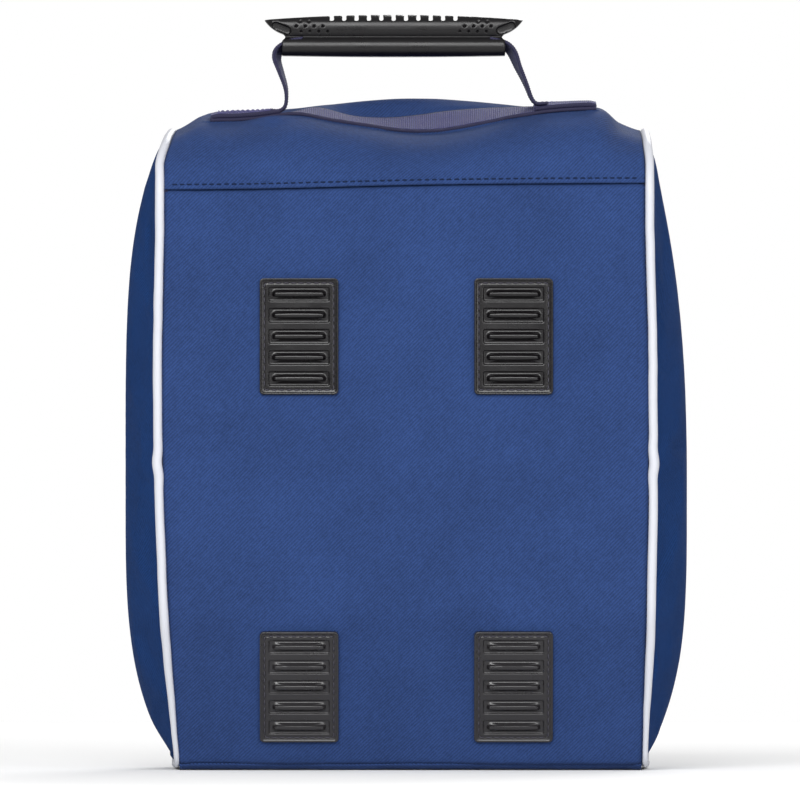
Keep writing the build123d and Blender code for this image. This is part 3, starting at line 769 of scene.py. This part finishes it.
def under_strip(grid):
    """The top panel laid down onto the underside of the webbing sewn across it."""
    g = grid.copy()
    x, y, z = g[..., 0], g[..., 1], g[..., 2]
    t = np.clip((y - WEB_Y) / (2 * WEB_HALF) + 0.5, -0.25, 1.25)
    above = np.interp(x, STRIP_X, STRIP_FRONT) * (1 - t) + np.interp(x, STRIP_X, STRIP_REAR) * t
    wanted = above - WEB_THICK - 0.25 * MM
    off = np.maximum(np.abs(y - WEB_Y) - WEB_HALF - 0.8 * MM, 0)
    beyond = np.maximum(np.maximum(STRIP_X[0] - x, x - STRIP_X[-1]) - 0.5 * MM, 0)
    reach = np.where(y < WEB_Y, 15 * MM, 17 * MM)
    hold = (1 - step(0, 1, off / reach)) * (1 - step(0, 13 * MM, beyond))
    g[..., 2] = z + (wanted - z) * hold * step(SEAM_Z + 6 * MM, SEAM_Z + 20 * MM, z)
    near = WEB_Y - WEB_HALF
    steepest = math.radians(74)
    for k in range(g.shape[1]):
        rows = np.flatnonzero(g[:, k, 1] < near)
        rows = rows[: int(np.argmax(np.diff(rows) > 1)) + 1] if np.any(np.diff(rows) > 1) else rows
        line = g[rows, k, 1:]
        length = arc_length(line)
        angle = length / length[-1] * steepest
        top = np.interp(g[0, k, 0], STRIP_X, STRIP_FRONT) - WEB_THICK - 0.9 * MM
        y_new = BACK_Y + (near - BACK_Y) * (1 - np.cos(angle)) / (1 - math.cos(steepest))
        z_new = SEAM_Z + (top - SEAM_Z) * (np.sin(angle) / math.sin(steepest)) ** 0.95
        hump = 2.6 * MM * bump(g[0, k, 0], -74 * MM, 12 * MM) * bump(y_new, near - 4 * MM, 7 * MM)
        past = max(STRIP_X[0] - g[0, k, 0], g[0, k, 0] - STRIP_X[-1], 0)
        share = 1 - step(0, 14 * MM, past)
        g[rows, k, 1] += (y_new - g[rows, k, 1]) * share
        g[rows, k, 2] += (z_new + hump - g[rows, k, 2]) * share
    return g


xs_top = np.linspace(-WRAP_X, WRAP_X, 150)
top_grid = along_x(lambda x: top_path(crown_rise(x), SEAM_Z, 130), xs_top)


def top_form(grid):
    """Sag under the webbing, a fuller rear half, seam tucks and slack."""
    g = grid.copy()
    x, y, z = g[..., 0], g[..., 1], g[..., 2]
    middle = step(-68 * MM, -25 * MM, x) * step(-72 * MM, -30 * MM, -x)
    front_dip = bump(y, -33 * MM, 15 * MM) * middle * (4.5 + 3.5 * bump(x, 12 * MM, 30 * MM))
    rear = bump(y, 22 * MM, 26 * MM) * 0.8 * bump(x, 2 * MM, 75 * MM)
    hump = bump(x, -76 * MM, 11 * MM) * bump(y, -36 * MM, 9 * MM) * 2.6
    hump += bump(x, 84 * MM, 16 * MM) * bump(y, -34 * MM, 10 * MM) * 1.2
    folds = smooth_noise(g * [1, 0.6, 0.6], 11, 34 * MM) * 0.9
    folds += smooth_noise(g * [1, 0.5, 0.5], 12, 15 * MM) * 0.35
    high_part = step(SEAM_Z + 4 * MM, SEAM_Z + 24 * MM, z)
    g[..., 2] = z + (rear + hump + folds * 0.8 - front_dip) * MM * high_part * seam_pull(x, 14 * MM)
    return g


top_grid = under_strip(top_form(top_grid))
SEAM_STITCH_RISE = 2.6 * MM
x, z = top_grid[..., 0], top_grid[..., 2]
pucker = np.sin(x / (3.6 * MM) + 2 * smooth_noise(top_grid * [1, 0, 0], 6, 14 * MM))
lift = 0.5 * MM + 0.12 * MM * pucker * bump(z, SEAM_Z + 5 * MM, 5 * MM)
groove = bump(z, SEAM_Z + SEAM_STITCH_RISE, 0.9 * MM) * 0.5 * MM + bump(z, SEAM_Z, 0.5 * MM) * 0.4 * MM
top_grid = top_grid + normals_towards(top_grid, ABOVE) * (lift - groove)[..., None]
shift = (seam_z(top_grid[..., 0]) - SEAM_Z) * (1 - step(SEAM_Z, SEAM_Z + 30 * MM, z))
top_grid[..., 2] += shift * (top_grid[..., 1] < 0)
top_grid = seam_bow(top_grid)
blue_cloth("top_panel_cloth", top_grid, "top_panel", ABOVE)


for name, edge_y in (("cross_seam_stitch", -1), ("front_seam_stitch", 1)):
    line = []
    for k, x_here in enumerate(xs_top):
        col = top_grid[:, k]
        side = col[: len(col) // 2] if edge_y < 0 else col[len(col) // 2:]
        wanted = (seam_z(x_here) if edge_y < 0 else SEAM_Z) + SEAM_STITCH_RISE
        order = np.argsort(side[:, 2])
        line.append([np.interp(wanted, side[order, 2], side[order, 0]),
                     np.interp(wanted, side[order, 2], side[order, 1]) + edge_y * 0.1 * MM, wanted])
    # the dark seam thread also paints in the shade of the stitch dimples
    stitches(name, line[2:-2], "root", SEAM_THREAD_PAINTED_SHADE, 3.8 * MM, 2.7 * MM, 0.42 * MM,
             normal=(0, edge_y, 0.15), slot="body_fabric")

# ---------------------------------------------------------------- side panels
SIDE_ROWS = 128
SIDE_COLS = 64
SIDE_FULLNESS = 20.7 * MM
FULLEST_Z = 140 * MM


def side_bulge(z, side):
    """How far the side's middle stands out from its seam. The left one stays full nearly up to the top."""
    start = (10 if side < 0 else 7) * MM
    below = np.clip((z - start) / (FULLEST_Z - start), 0, 1)
    above = np.clip((z - FULLEST_Z) / (331 * MM - FULLEST_Z), 0, 1)
    return SIDE_FULLNESS * (1 - (1 - below) ** 3.5) * (1 - above ** (4.7 if side < 0 else 2.6))


def side_grid(side, inset):
    """Rows from the base up to the crown, each from the back seam to the front one."""
    ring = even_outline(3000, 0, inset, PIPING_BASE)
    crown = ring[:, 1].max()
    base = ring[:, 1].min()
    t = np.linspace(0, 1, SIDE_ROWS)
    levels = base + 0.1 * MM + (crown - base - 0.2 * MM) * (t - 0.12 * np.sin(2 * math.pi * t) / math.pi)
    front = ring[ring[:, 0] >= ring[np.argmax(ring[:, 1]), 0]]
    back = ring[ring[:, 0] < ring[np.argmax(ring[:, 1]), 0]]
    front = front[front[:, 0] > 40 * MM - 400 * (front[:, 1] - 20 * MM)]
    back = back[back[:, 1] > base + 0.01 * MM]
    y_front = np.interp(levels, *front[np.argsort(front[:, 1])].T[::-1])
    y_back = np.interp(levels, *back[np.argsort(back[:, 1])].T[::-1])
    u = np.linspace(0, 1, SIDE_COLS)
    u = u - 0.13 * np.sin(2 * math.pi * u) / math.pi
    y = y_back[:, None] * (1 - u) + y_front[:, None] * u
    z = levels[:, None]
    full = (1 - np.abs(2 * u - 1) ** 2.1) ** 0.8
    x = side * (SEAM_X + side_bulge(z, side) * full)
    return stacked(x, y, z)


def side_cloth(side):
    """One side panel: gathered at its seam, slack inside it, and as full as the photo's outline."""
    grid = side_grid(side, 1.6 * MM)
    y, z = grid[..., 1], grid[..., 2]
    from_seam = np.minimum(y - y[:, :1], y[:, -1:] - y)
    from_seam = np.minimum(np.minimum(from_seam, z - z[0, 0]), 1.6 * (z[-1, 0] - z))
    around = np.arctan2(z - 170 * MM, y)
    gather = np.sin(around * 43 + 3 * np.sin(around * 5 + side)) * bump(from_seam, 5 * MM, 5 * MM)
    gather *= 0.3 * MM * (0.35 + 0.65 * (0.5 + 0.5 * np.sin(around * 3 + 1.4 * side)))
    slow = smooth_noise(grid * [0.2, 1, 0.6], 21 + side, 46 * MM)
    fine = smooth_noise(grid * [0.2, 1, 0.5], 23 + side, 19 * MM)
    loose = step(0, 16 * MM, from_seam)
    fold = bump(y, -52 * MM, 5 * MM) * bump(z, 254 * MM, 24 * MM) * (1.5 if side > 0 else 0.7)
    grid[..., 0] += side * (gather + loose * (0.8 * slow + 0.3 * fine - fold) * MM)
    grid = seam_bow(grid)
    grid = relaxed(grid, 0.012, 1.2 * side, 2.2 * MM)
    seam = np.abs(grid[:, :1, 0])
    out = np.abs(grid[..., 0]) - seam
    wanted = SEAM_X + side_bulge(grid[:, SIDE_COLS // 2, 2], side) - seam[:, 0]
    share = smoothed(np.clip(wanted / np.maximum(out.max(axis=1), MM), 0.3, 1.2), 12)
    grid[..., 0] = side * (seam + out * share[:, None])
    return grid


side_cloths = {}
for name, side in SIDES:
    grid = side_cloths[side] = side_cloth(side)
    weave = stacked(grid[..., 1] * side, grid[..., 2])
    # the side panels use the darker blue copy, which paints in their shade
    cloth = cloth_grid(f"{name}_side_cloth", grid, FABRIC, SIDE_CLOTH_PAINTED_SHADE, "root", f"{name}_side_panel",
                       "side_fabric", uv=weave, out=(side, 0, 0.15))

# ---------------------------------------------------------------- piping and seam bindings
PIPING_RADIUS = 2.35 * MM
BINDING_X = 123 * MM
BINDING_HALF = 1.2 * MM
RING_POINTS = 420


for name, side in SIDES:
    ring = even_outline(RING_POINTS, 0, 0.4 * MM, PIPING_BASE)
    path = stacked(side * SEAM_X, *ring.T)
    wander = smooth_noise(path, 31 + side, 33 * MM) * 0.35 + smooth_noise(path, 33 + side, 9 * MM) * 0.12
    at_lap = bump(path[:, 2], 159 * MM, 9 * MM) * (path[:, 1] < 0)
    path[:, 0] += (wander + 0.5 * side * at_lap * np.sin(path[:, 2] / (3.1 * MM))) * MM
    path = seam_bow(path)
    tucked = smoothed(0.4 * (1 - step(5 * MM, 75 * MM, path[:, 2])) * (path[:, 1] < 0), 20)
    path[:, 0] -= side * PIPING_RADIUS * tucked
    uneven = 0.1 * MM * smooth_noise(path, 37, 14 * MM) + 0.35 * MM * at_lap
    radius = (PIPING_RADIUS + uneven) * (1 - tucked)
    cord = tube_mesh(path, radius, 16, closed=True)
    new_piece(f"{name}_piping_cord", *cord, PIPING, "root", f"{name}_piping", "white_piping")
    seam = path.copy()
    seam[:, 0] -= side * PIPING_RADIUS * (1 - tucked)
    centre = np.array([0, 0, 160 * MM])
    inwards = centre - path
    inwards[:, 0] = 0
    inwards /= np.linalg.norm(inwards, axis=1, keepdims=True)
    seam = seam + inwards * 0.35 * MM
    stitches(f"{name}_piping_stitch", seam, "root", BLUE_THREAD, 3.4 * MM, 2.5 * MM, 0.28 * MM,
             normal=-inwards, closed=True, slot="white_piping")
    seam_line = even_outline(RING_POINTS, 0, 1.6 * MM, PIPING_BASE)
    free_line = even_outline(RING_POINTS, 0, 9.6 * MM, PIPING_BASE)
    section = ((-1, seam_line), (-1, free_line), (1, free_line), (1, seam_line))
    loop = np.stack([stacked(side * BINDING_X + off * BINDING_HALF, *yz.T) for off, yz in section], axis=1)
    loop[..., 0] += smooth_noise(loop, 41, 12 * MM) * 0.3 * MM
    loop = seam_bow(loop)
    faces = []
    for r in range(len(ring)):
        here, ahead = 4 * r, 4 * ((r + 1) % len(ring))
        faces += [[here + c, ahead + c, ahead + (c + 1) % 4, here + (c + 1) % 4] for c in range(4)]
    length = arc_length(seam_line)
    uv = stacked(length[:, None], np.array([[-4, 4, 4, -4]]) * MM)
    new_piece(f"{name}_binding_tape", loop.reshape(-1, 3), faces, BINDING, "root", f"{name}_seam_binding",
              "binding", uv.reshape(-1, 2))


# ---------------------------------------------------------------- front: border, lid, zip
def front_y(z):
    """The front face's depth at height z."""
    ring = even_outline(1600)
    front = ring[ring[:, 0] > 0]
    order = np.argsort(front[:, 1])
    return np.interp(z, front[order, 1], front[order, 0])


def zip_line(offset, low_z, count):
    """The zip's course up one side, over the top and down the other, moved outwards by offset."""
    half, top, r = ZIP_X + offset, ZIP_TOP + offset, ZIP_R + offset
    turn = np.linspace(math.pi, math.pi / 2, 25)
    left = np.vstack([[-half, low_z], stacked(r - half + r * np.cos(turn), top - r + r * np.sin(turn))])
    return resample(np.vstack([left, left[::-1] * [-1, 1]]), count)


BORDER_GAP = 4.2 * MM  # from the zip's line to the cloth's cut edge, on both sides


def border_edge(x, z):
    """The point on the front face's edge across from (x, z), seen from the centre of the zip's corner."""
    centre_x, centre_z = ZIP_X - ZIP_R, ZIP_TOP - ZIP_R
    wide, tall = WRAP_X - centre_x, SEAM_Z - centre_z
    if z < centre_z:
        return [math.copysign(WRAP_X, x), FRONT_Y, z]
    if abs(x) < centre_x:
        return [x, FRONT_Y, SEAM_Z]
    slope = (z - centre_z) / max(abs(x) - centre_x, 1e-9)
    if slope < tall / wide:
        return [math.copysign(WRAP_X, x), FRONT_Y, centre_z + wide * slope]
    return [math.copysign(centre_x + tall / slope, x), FRONT_Y, SEAM_Z]


inner = zip_line(BORDER_GAP, HINGE_Z - 0.3 * MM, 360)
outer = seam_bow([border_edge(x, z) for x, z in inner])[:, [0, 2]]
BORDER_ROWS = 15
border = np.stack([inner * (1 - t) + outer * t for t in np.linspace(0, 1, BORDER_ROWS)])
x, z = border[..., 0], border[..., 1]
lift = 0.15 * MM + 0.5 * MM * np.sin(np.linspace(0, math.pi, BORDER_ROWS))[:, None]
ripple = smooth_noise(stacked(x, 0, z), 51, 24 * MM) * 0.35 * MM
edge_roll = 0.7 * MM * bump(np.arange(BORDER_ROWS)[:, None], 0, 0.8)
border = stacked(x, front_y(z) + lift + ripple - edge_roll, z)
border_nodes = ("left_front_border", "right_front_border", "top_front_border")
blue_cloth("front_border_cloth", border, border_nodes, IN_FRONT)

xs = np.linspace(-WRAP_X, WRAP_X, 150)
zs = np.linspace(BASE_Z, HINGE_Z - 0.3 * MM, 26)
X, Z = np.meshgrid(xs, zs)
lower = stacked(X, front_y(Z), Z)
lower[..., 1] += smooth_noise(lower, 53, 26 * MM) * 0.5 * MM
blue_cloth("lower_border_cloth", seam_bow(lower), "lower_front_border", IN_FRONT)

# the lid: a padded panel, cut round at its upper corners
LID_ROWS, LID_COLS = 110, 90
zs = np.linspace(HINGE_Z + 0.3 * MM, ZIP_TOP - BORDER_GAP, LID_ROWS)
zs = zs[0] + (zs[-1] - zs[0]) * (1 - (1 - np.linspace(0, 1, LID_ROWS)) ** 1.25)
r = ZIP_R - BORDER_GAP
above = np.maximum(zs - (ZIP_TOP - ZIP_R), 0)
half = (ZIP_X - BORDER_GAP) - r + np.sqrt(np.maximum(r**2 - above**2, 0))
lid = stacked(np.outer(half, np.linspace(-1, 1, LID_COLS)), 0, zs[:, None])
x, z = lid[..., 0], lid[..., 2]
edge = np.minimum(np.minimum(half[:, None] - np.abs(x), ZIP_TOP - BORDER_GAP - z), z - HINGE_Z)
pillow = 3.0 * MM * step(0, 38 * MM, edge) + 0.8 * MM * step(0, 4 * MM, edge)
ripple = smooth_noise(lid * [1, 1, 0.7], 57, 40 * MM) * 0.7 * MM
ripple += smooth_noise(lid * [1, 1, 0.7], 58, 16 * MM) * 0.25 * MM
lid[..., 1] = FRONT_Y - 0.4 * MM + pillow + ripple * step(0, 12 * MM, edge)
lid = relaxed(lid, 0.01, -1.0, 1.8 * MM)
x, z = lid[..., 0], lid[..., 2]
LID_STITCH_ROWS = (3.0 * MM, 6.4 * MM)
for inset in LID_STITCH_ROWS:
    lid[..., 1] -= 0.45 * MM * bump(edge, inset, 0.8 * MM)
lid_cloth = blue_cloth("lid_cloth", lid, "lid_panel", IN_FRONT, "lid")


def lid_face(points):
    """Depth of the lid's outer face under points (x, z)."""
    points = np.asarray(points)
    row = np.interp(points[:, 1], zs, np.arange(LID_ROWS))
    here = np.interp(points[:, 1], zs, half)
    col = (points[:, 0] / here + 1) / 2 * (LID_COLS - 1)
    i = np.clip(row.astype(int), 0, LID_ROWS - 2)
    j = np.clip(col.astype(int), 0, LID_COLS - 2)
    f, g = np.clip(row - i, 0, 1), np.clip(col - j, 0, 1)
    y = lid[..., 1]
    return (y[i, j] * (1 - f) * (1 - g) + y[i + 1, j] * f * (1 - g) + y[i, j + 1] * (1 - f) * g
            + y[i + 1, j + 1] * f * g)


for number, inset in enumerate(LID_STITCH_ROWS):
    line = zip_line(-BORDER_GAP - inset, HINGE_Z + 5 * MM, 500)
    path = stacked(line[:, 0], lid_face(line) + 0.12 * MM, line[:, 1])
    stitches(f"lid_stitch_{number}", path, "lid", BLUE_THREAD, normal=(0, 1, 0), slot="body_fabric")
for number, offset in enumerate((BORDER_GAP + 2.6 * MM, BORDER_GAP + 5.8 * MM)):
    line = zip_line(offset, HINGE_Z + 3 * MM, 600)
    path = stacked(line[:, 0], front_y(line[:, 1]) + 0.45 * MM, line[:, 1])
    stitches(f"border_stitch_{number}", path, "root", BLUE_THREAD, normal=(0, 1, 0), slot="body_fabric")

FOLD_HALF = 7 * MM
fold_x = ZIP_X - BORDER_GAP
xs = np.linspace(-fold_x, fold_x, 90)
zs_fold = np.linspace(HINGE_Z - FOLD_HALF, HINGE_Z + FOLD_HALF, 23)
X, Z = np.meshgrid(xs, zs_fold)
crest = np.sin((Z - zs_fold[0]) / (2 * FOLD_HALF) * math.pi)
fold = stacked(X, FRONT_Y + 0.5 * MM + 0.7 * MM * crest, Z)
fold_piece = blue_cloth("lid_fold_cloth", fold, (), IN_FRONT, thick=0.8 * MM)
fold_piece.parent = None  # it bends between two bodies, so it rides on neither
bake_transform(fold_piece)
for body, rise in (("root", -5 * MM), ("lid", 5 * MM)):
    line = stacked(np.linspace(-fold_x + 2 * MM, fold_x - 2 * MM, 60), FRONT_Y + 1.2 * MM, HINGE_Z + rise)
    stitches(f"fold_stitch_{body}", line, body, BLUE_THREAD, normal=(0, 1, 0), slot="body_fabric")


def zip_tape(name, body, node, first, last, low_z):
    """Woven tape beside the zip's teeth."""
    flat = np.stack([zip_line(offset, low_z, 420) for offset in np.linspace(first, last, 7)])
    y = np.full(flat.shape[:2], low(node).y + 0.7 * MM)
    y += smooth_noise(stacked(flat[..., 0], 0, flat[..., 1]), 61, 18 * MM) * 0.12 * MM
    tape = stacked(flat[..., 0], y, flat[..., 1])
    cloth_grid(name, tape, 0.6 * MM, ZIP_TAPE, body, node, "zip_tape", out=IN_FRONT)


TAPE_EDGE = 0.7 * MM
TAPE_REACH = 12 * MM
zip_tape("frame_zip_tape", "root", "zip_tape_frame", TAPE_EDGE, TAPE_REACH, low("zip_tape_frame").z)
zip_tape("lid_zip_tape", "lid", "zip_tape_lid", -TAPE_EDGE, -TAPE_REACH, low("zip_tape_lid").z)


def zip_teeth(name, body, node, offset, low_z, phase):
    """The nylon coil: one rounded loop after another, each with a bulged head towards the other side."""
    line = zip_line(offset, low_z, 1400)
    s = arc_length(line)
    pitch = 2.0 * MM
    head = 1 if offset < 0 else -1
    parts = []
    y = low(node).y + 0.9 * MM
    for i in range(int(s[-1] / pitch)):
        t = (i + 0.25 + phase) * pitch
        here = points_at(t, s, line)
        ahead = points_at(t + 0.2 * MM, s, line) - here
        ahead /= max(np.linalg.norm(ahead), 1e-9)
        out = np.array([-ahead[1], ahead[0]]) * head
        points = []
        for across, up in ((-0.33, -0.3), (-0.28, 0.26), (0.05, 0.36), (0.3, 0.26), (0.34, -0.15)):
            p = here + out * across * MM
            points.append([p[0], y + up * MM, p[1]])
        parts.append(tube_mesh(points, np.array([0.36, 0.42, 0.42, 0.44, 0.42]) * MM, 7))
    new_piece(name, *joined(parts), ZIP_COIL, body, node, "zip_coil")


coil_line = TAPE_EDGE + COIL_WIDE / 2
zip_teeth("frame_zip_teeth", "root", "zip_coil_frame", coil_line, low("zip_coil_frame").z, 0.0)
zip_teeth("lid_zip_teeth", "lid", "zip_coil_lid", -coil_line, low("zip_coil_lid").z, 0.5)

# ---------------------------------------------------------------- webbing on top
def ribbon(name, centre, across, half_width, thick, node, out):
    """Ribbed webbing along a centre line: ribs as real ridges, a plaited cord along both edges."""
    centre = np.asarray(centre, float)
    s = arc_length(centre)
    count = int(s[-1] / (RIB_PITCH / 6))
    t = np.linspace(0, s[-1], count)
    line, side = points_at(t, s, centre), points_at(t, s, across)
    side /= np.linalg.norm(side, axis=1, keepdims=True)
    w = np.linspace(-1, 1, 13)
    grid = line[None] + side[None] * (w * half_width)[:, None, None]
    normals = normals_towards(grid, out)
    ridge = 0.1 * MM * np.sin(2 * math.pi * t / RIB_PITCH) * (1 - step(0.8, 1.0, np.abs(w)))[:, None]
    uneven = smooth_noise(grid, 71, 9 * MM) * 0.2 * MM
    grid = grid + normals * (ridge + uneven)[..., None]
    uv = stacked(t, (w * half_width)[:, None])
    made = [cloth_grid(name, grid, thick, WEBBING, "root", node, "webbing", uv=uv, out=out)]
    for number, row in enumerate((0, -1)):
        parts = []
        for phase in (0, math.pi):
            turn = 2 * math.pi * t / PLAIT_PITCH + phase
            rise = normals[row] * (0.28 * thick * np.sin(turn) - 0.5 * thick)[:, None]
            path = grid[row] + rise + side * (0.35 * MM * np.cos(turn))[:, None]
            parts.append(tube_mesh(path[::2], YARN_RADIUS, 6))
        verts, faces = joined(parts)
        made.append(new_piece(f"{name}_selvedge_{number}", verts, faces, SELVEDGE, "root", (), "webbing",
                              np.zeros((len(verts), 2))))
    return made


SELVEDGE = grained_material("selvedge_yarn", (0.012, 0.011, 0.04), 0.7, 0.5 * MM, 0.06 * MM, spread=0.4)
PLAIT_PITCH = 2.6 * MM
YARN_RADIUS = 0.55 * MM
centre = stacked(STRIP_X, WEB_Y, (STRIP_FRONT + STRIP_REAR) / 2)
across = stacked(0, 2 * WEB_HALF, STRIP_REAR - STRIP_FRONT)
ribbon("top_webbing_strip", centre, across, WEB_HALF, WEB_THICK, "top_webbing", (0, WEB_Y, 9))


TAIL_THICK = 2.3 * MM
BOX_INSET = 4 * MM
BOX_HALF = 9 * MM


def end_layer(name, node, first, last):
    """The handle strap's end, sewn down on the strip: a second layer with a folded tip."""
    x = np.linspace(first, last, 60)
    z = np.interp(x, STRIP_X, (STRIP_FRONT + STRIP_REAR) / 2) + TAIL_THICK
    tip = bump(x, first if abs(first) > abs(last) else last, 2.0 * MM)
    z = z - 0.7 * MM * tip
    tilt = np.interp(x, STRIP_X, STRIP_REAR - STRIP_FRONT)
    side = stacked(0, 2 * WEB_HALF, tilt)
    ribbon(name, stacked(x, WEB_Y, z), side, WEB_HALF - 0.2 * MM, TAIL_THICK, node, (0, WEB_Y, 9))
    a, b = min(first, last) + BOX_INSET, max(first, last) - BOX_INSET
    box = [(a, -1), (b, -1), (b, 1), (a, 1), (a, -1), (b, 1), (b, -1), (a, 1)]  # a square and its cross
    t = np.linspace(0, 1, 24, endpoint=False)[:, None]
    sewn = np.vstack([np.array(here) * (1 - t) + np.array(ahead) * t for here, ahead in zip(box, box[1:])])
    along, off = sewn[:, 0], sewn[:, 1] * BOX_HALF
    height = np.interp(along, x, z) + off / (2 * WEB_HALF) * np.interp(along, x, tilt)
    path = stacked(along, WEB_Y + off, height + 0.25 * MM)
    stitches(f"{name}_stitch", path, "root", WEB_THREAD, 2.6 * MM, 2.0 * MM, normal=(0, 0, 1),
             slot="webbing")


end_layer("left_strap_tail", "strap_end_left", low("strap_end_left").x, high("strap_end_left").x)
end_layer("right_strap_tail", "strap_end_right", high("strap_end_right").x, low("strap_end_right").x)

# the strap that rises to the grip on both sides, as (x, z) in millimetres from the sewn end up
LEFT_RISE = [(-70.5, 344.6), (-66.0, 344.8), (-63.6, 347.6), (-63.6, 355), (-66.3, 364),
             (-68.4, 371.5), (-66.4, 377.0), (-60.0, 381.0), (-52, 382.5)]
RIGHT_RISE = [(73.5, 348.6), (68.4, 348.4), (65.8, 351.0), (63.0, 358), (59.0, 367),
              (55.6, 375.0), (50.6, 380.0), (42, 382.5)]
for name, points, lean in (("left_handle_strap", LEFT_RISE, 1), ("right_handle_strap", RIGHT_RISE, -1)):
    path = curve_through(np.array([(x, WEB_Y / MM, z) for x, z in points]) * MM, 90)
    climb = np.clip((path[:, 2] - 347 * MM) / (30 * MM), 0, 1)
    turn = np.radians(0.5 + 9.5 * climb**1.5) * lean
    side = stacked(np.sin(turn), np.cos(turn), 0)
    pieces = ribbon(name, path, side, WEB_HALF - 0.4 * MM, 1.4 * MM, "handle_strap" if lean > 0 else (),
                    (lean * -9, WEB_Y, 0.36))
    for piece in pieces:
        piece.parent = None  # it bends between two bodies, so it rides on neither
        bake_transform(piece)


# ---------------------------------------------------------------- moulded parts
def moulded(name, node, body, material, voxel, smooth):
    """A CAD part with its sharp edges softened as moulding leaves them."""
    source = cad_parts[node]
    piece = bpy.data.objects.new(name, source.data.copy())
    scene.collection.objects.link(piece)
    remesh = piece.modifiers.new("remesh", "REMESH")
    remesh.mode = "VOXEL"
    remesh.voxel_size = voxel * 1
    soften = piece.modifiers.new("soften", "SMOOTH")
    soften.iterations = smooth
    shaped = bpy.data.meshes.new_from_object(piece.evaluated_get(bpy.context.evaluated_depsgraph_get()))
    piece.modifiers.clear()
    piece.data = shaped
    shaped.materials.clear()
    shaped.materials.append(material)
    shaped.polygons.foreach_set("use_smooth", [True] * len(shaped.polygons))
    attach(piece, body)
    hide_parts(node)
    return piece


moulded("grip_moulding", "handle_grip", "handle", GRIP, 0.45 * MM, 3)
FOOT_HEIGHT = high("foot_upper_left").z - low("foot_upper_left").z
STITCH_INSET = 2.45 * MM
STITCH_DEPTH = 1.8 * MM
# the lower feet take the lighter rubber copy, which paints in the floor's reflection
for row, lean, rubber in (("upper", 0.0, FOOT), ("lower", KNEE_LEAN, LOWER_FOOT_PAINTED_REFLECTION)):
    for side in ("left", "right"):
        node = f"foot_{row}_{side}"
        moulded(f"{side}_{row}_foot_moulding", node, "root", rubber, 0.3 * MM, 2)
        middle = (low(node) + high(node)) / 2
        half_w = (high(node).x - low(node).x) / 2 - STITCH_INSET
        half_h = FOOT_HEIGHT / 2 - STITCH_INSET
        corners = np.array([(-half_w, -half_h), (half_w, -half_h), (half_w, half_h), (-half_w, half_h)])
        flat = rounded(corners, [1.4 * MM] * 4, 6)
        z = middle.z + flat[:, 1] * math.cos(lean)
        on_cloth = BACK_Y + np.where(lean > 0, (KNEE_Z - z) * math.tan(lean), 0)
        path = stacked(middle.x + flat[:, 0], on_cloth - STITCH_DEPTH / math.cos(lean), z)
        stitches(f"{side}_{row}_foot_stitch", path, "root", DARK_THREAD, 3.9 * MM, 3.1 * MM, 0.36 * MM,
                 normal=(0, -math.cos(lean), -math.sin(lean)), closed=True, slot="foot_rubber")
for side in ("left", "right"):
    moulded(f"{side}_slider_body", f"slider_{side}", f"{side}_slider", METAL, 0.16 * MM, 2)
    moulded(f"{side}_pull_tab", f"pull_{side}", f"{side}_pull", METAL, 0.14 * MM, 2)
moulded("zip_stop_bars", "zip_end_stops", "root", ZIP_COIL, 0.2 * MM, 2)
for node in ("back_board", "base_board", "lid_board"):
    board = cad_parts[node]
    board.data.materials.clear()
    board.data.materials.append(BOARD)

# ---------------------------------------------------------------- bottom panel
ring = even_outline(2400)
under = ring[ring[:, 1] <= BASE_Z]
under = resample(under[np.argsort(under[:, 0])], 70)
base = along_x(lambda x: under, np.linspace(-WRAP_X, WRAP_X, 120))
dents = 0.5 + 0.5 * smooth_noise(base, 81, 30 * MM)
base[..., 2] += dents * 0.5 * MM * step(0, 8 * MM, WRAP_X - np.abs(base[..., 0])) + 0.02 * MM
blue_cloth("base_cloth", seam_bow(base), "bottom_panel", BELOW)


# ---------------------------------------------------------------- linings
def lining(name, grid, node, body="root", out=(0, 0, 0.15)):
    """Thin loose cloth on the inside."""
    loose = smooth_noise(grid, 91, 34 * MM) * 0.25 + smooth_noise(grid, 92, 13 * MM) * 0.08
    normals = grid_normals(grid)
    edge = np.ones(grid.shape[:2])
    edge[0] = edge[-1] = edge[:, 0] = edge[:, -1] = 0
    grid = grid + normals * (loose * edge * MM)[..., None]
    piece = cloth_grid(name, grid, LINING_THICK, LINING, body, node, "lining", out=out)
    return piece


LINING_THICK = 0.4 * MM
LINING_X = high("back_lining").x
xs = np.linspace(-LINING_X, LINING_X, 60)
inner_ring = even_outline(1200, 0, 5.0 * MM)
behind = inner_ring[(inner_ring[:, 0] < low("base_lining").y - 8 * MM) & (inner_ring[:, 1] < SEAM_Z)]
behind = resample(behind[np.argsort(behind[:, 1] - 0.02 * behind[:, 0])], 90)
back_inside = seam_bow(along_x(lambda x: behind, xs))
lining("back_lining_cloth", back_inside, "back_lining")
roof = (top_grid - normals_towards(top_grid, ABOVE) * 2.6 * MM)[2:-2:2, 4:-4:2]
lining("top_lining_cloth", roof, "top_lining")
X, Y = np.meshgrid(xs, np.linspace(low("base_lining").y - 9 * MM, high("base_lining").y + 2 * MM, 40))
Z = high("base_lining").z + 0.1 * MM - 1.2 * MM * (1 - step(0, 8 * MM, Y - Y[0, 0]))
lining("base_lining_cloth", stacked(X, Y, Z), "base_lining")
inside = lid[:-1:3, 2:-2:3].copy()
inside[..., 1] = low("lid_lining").y
lining("lid_lining_cloth", inside, "lid_lining", "lid")
for name, side in SIDES:
    grid = side_cloths[side][1:-1:2, 1:-1].copy()
    grid[..., 0] -= side * 2.4 * MM
    lining(f"{name}_side_lining_cloth", grid, f"{name}_side_lining", out=(0, 0, 0.15))
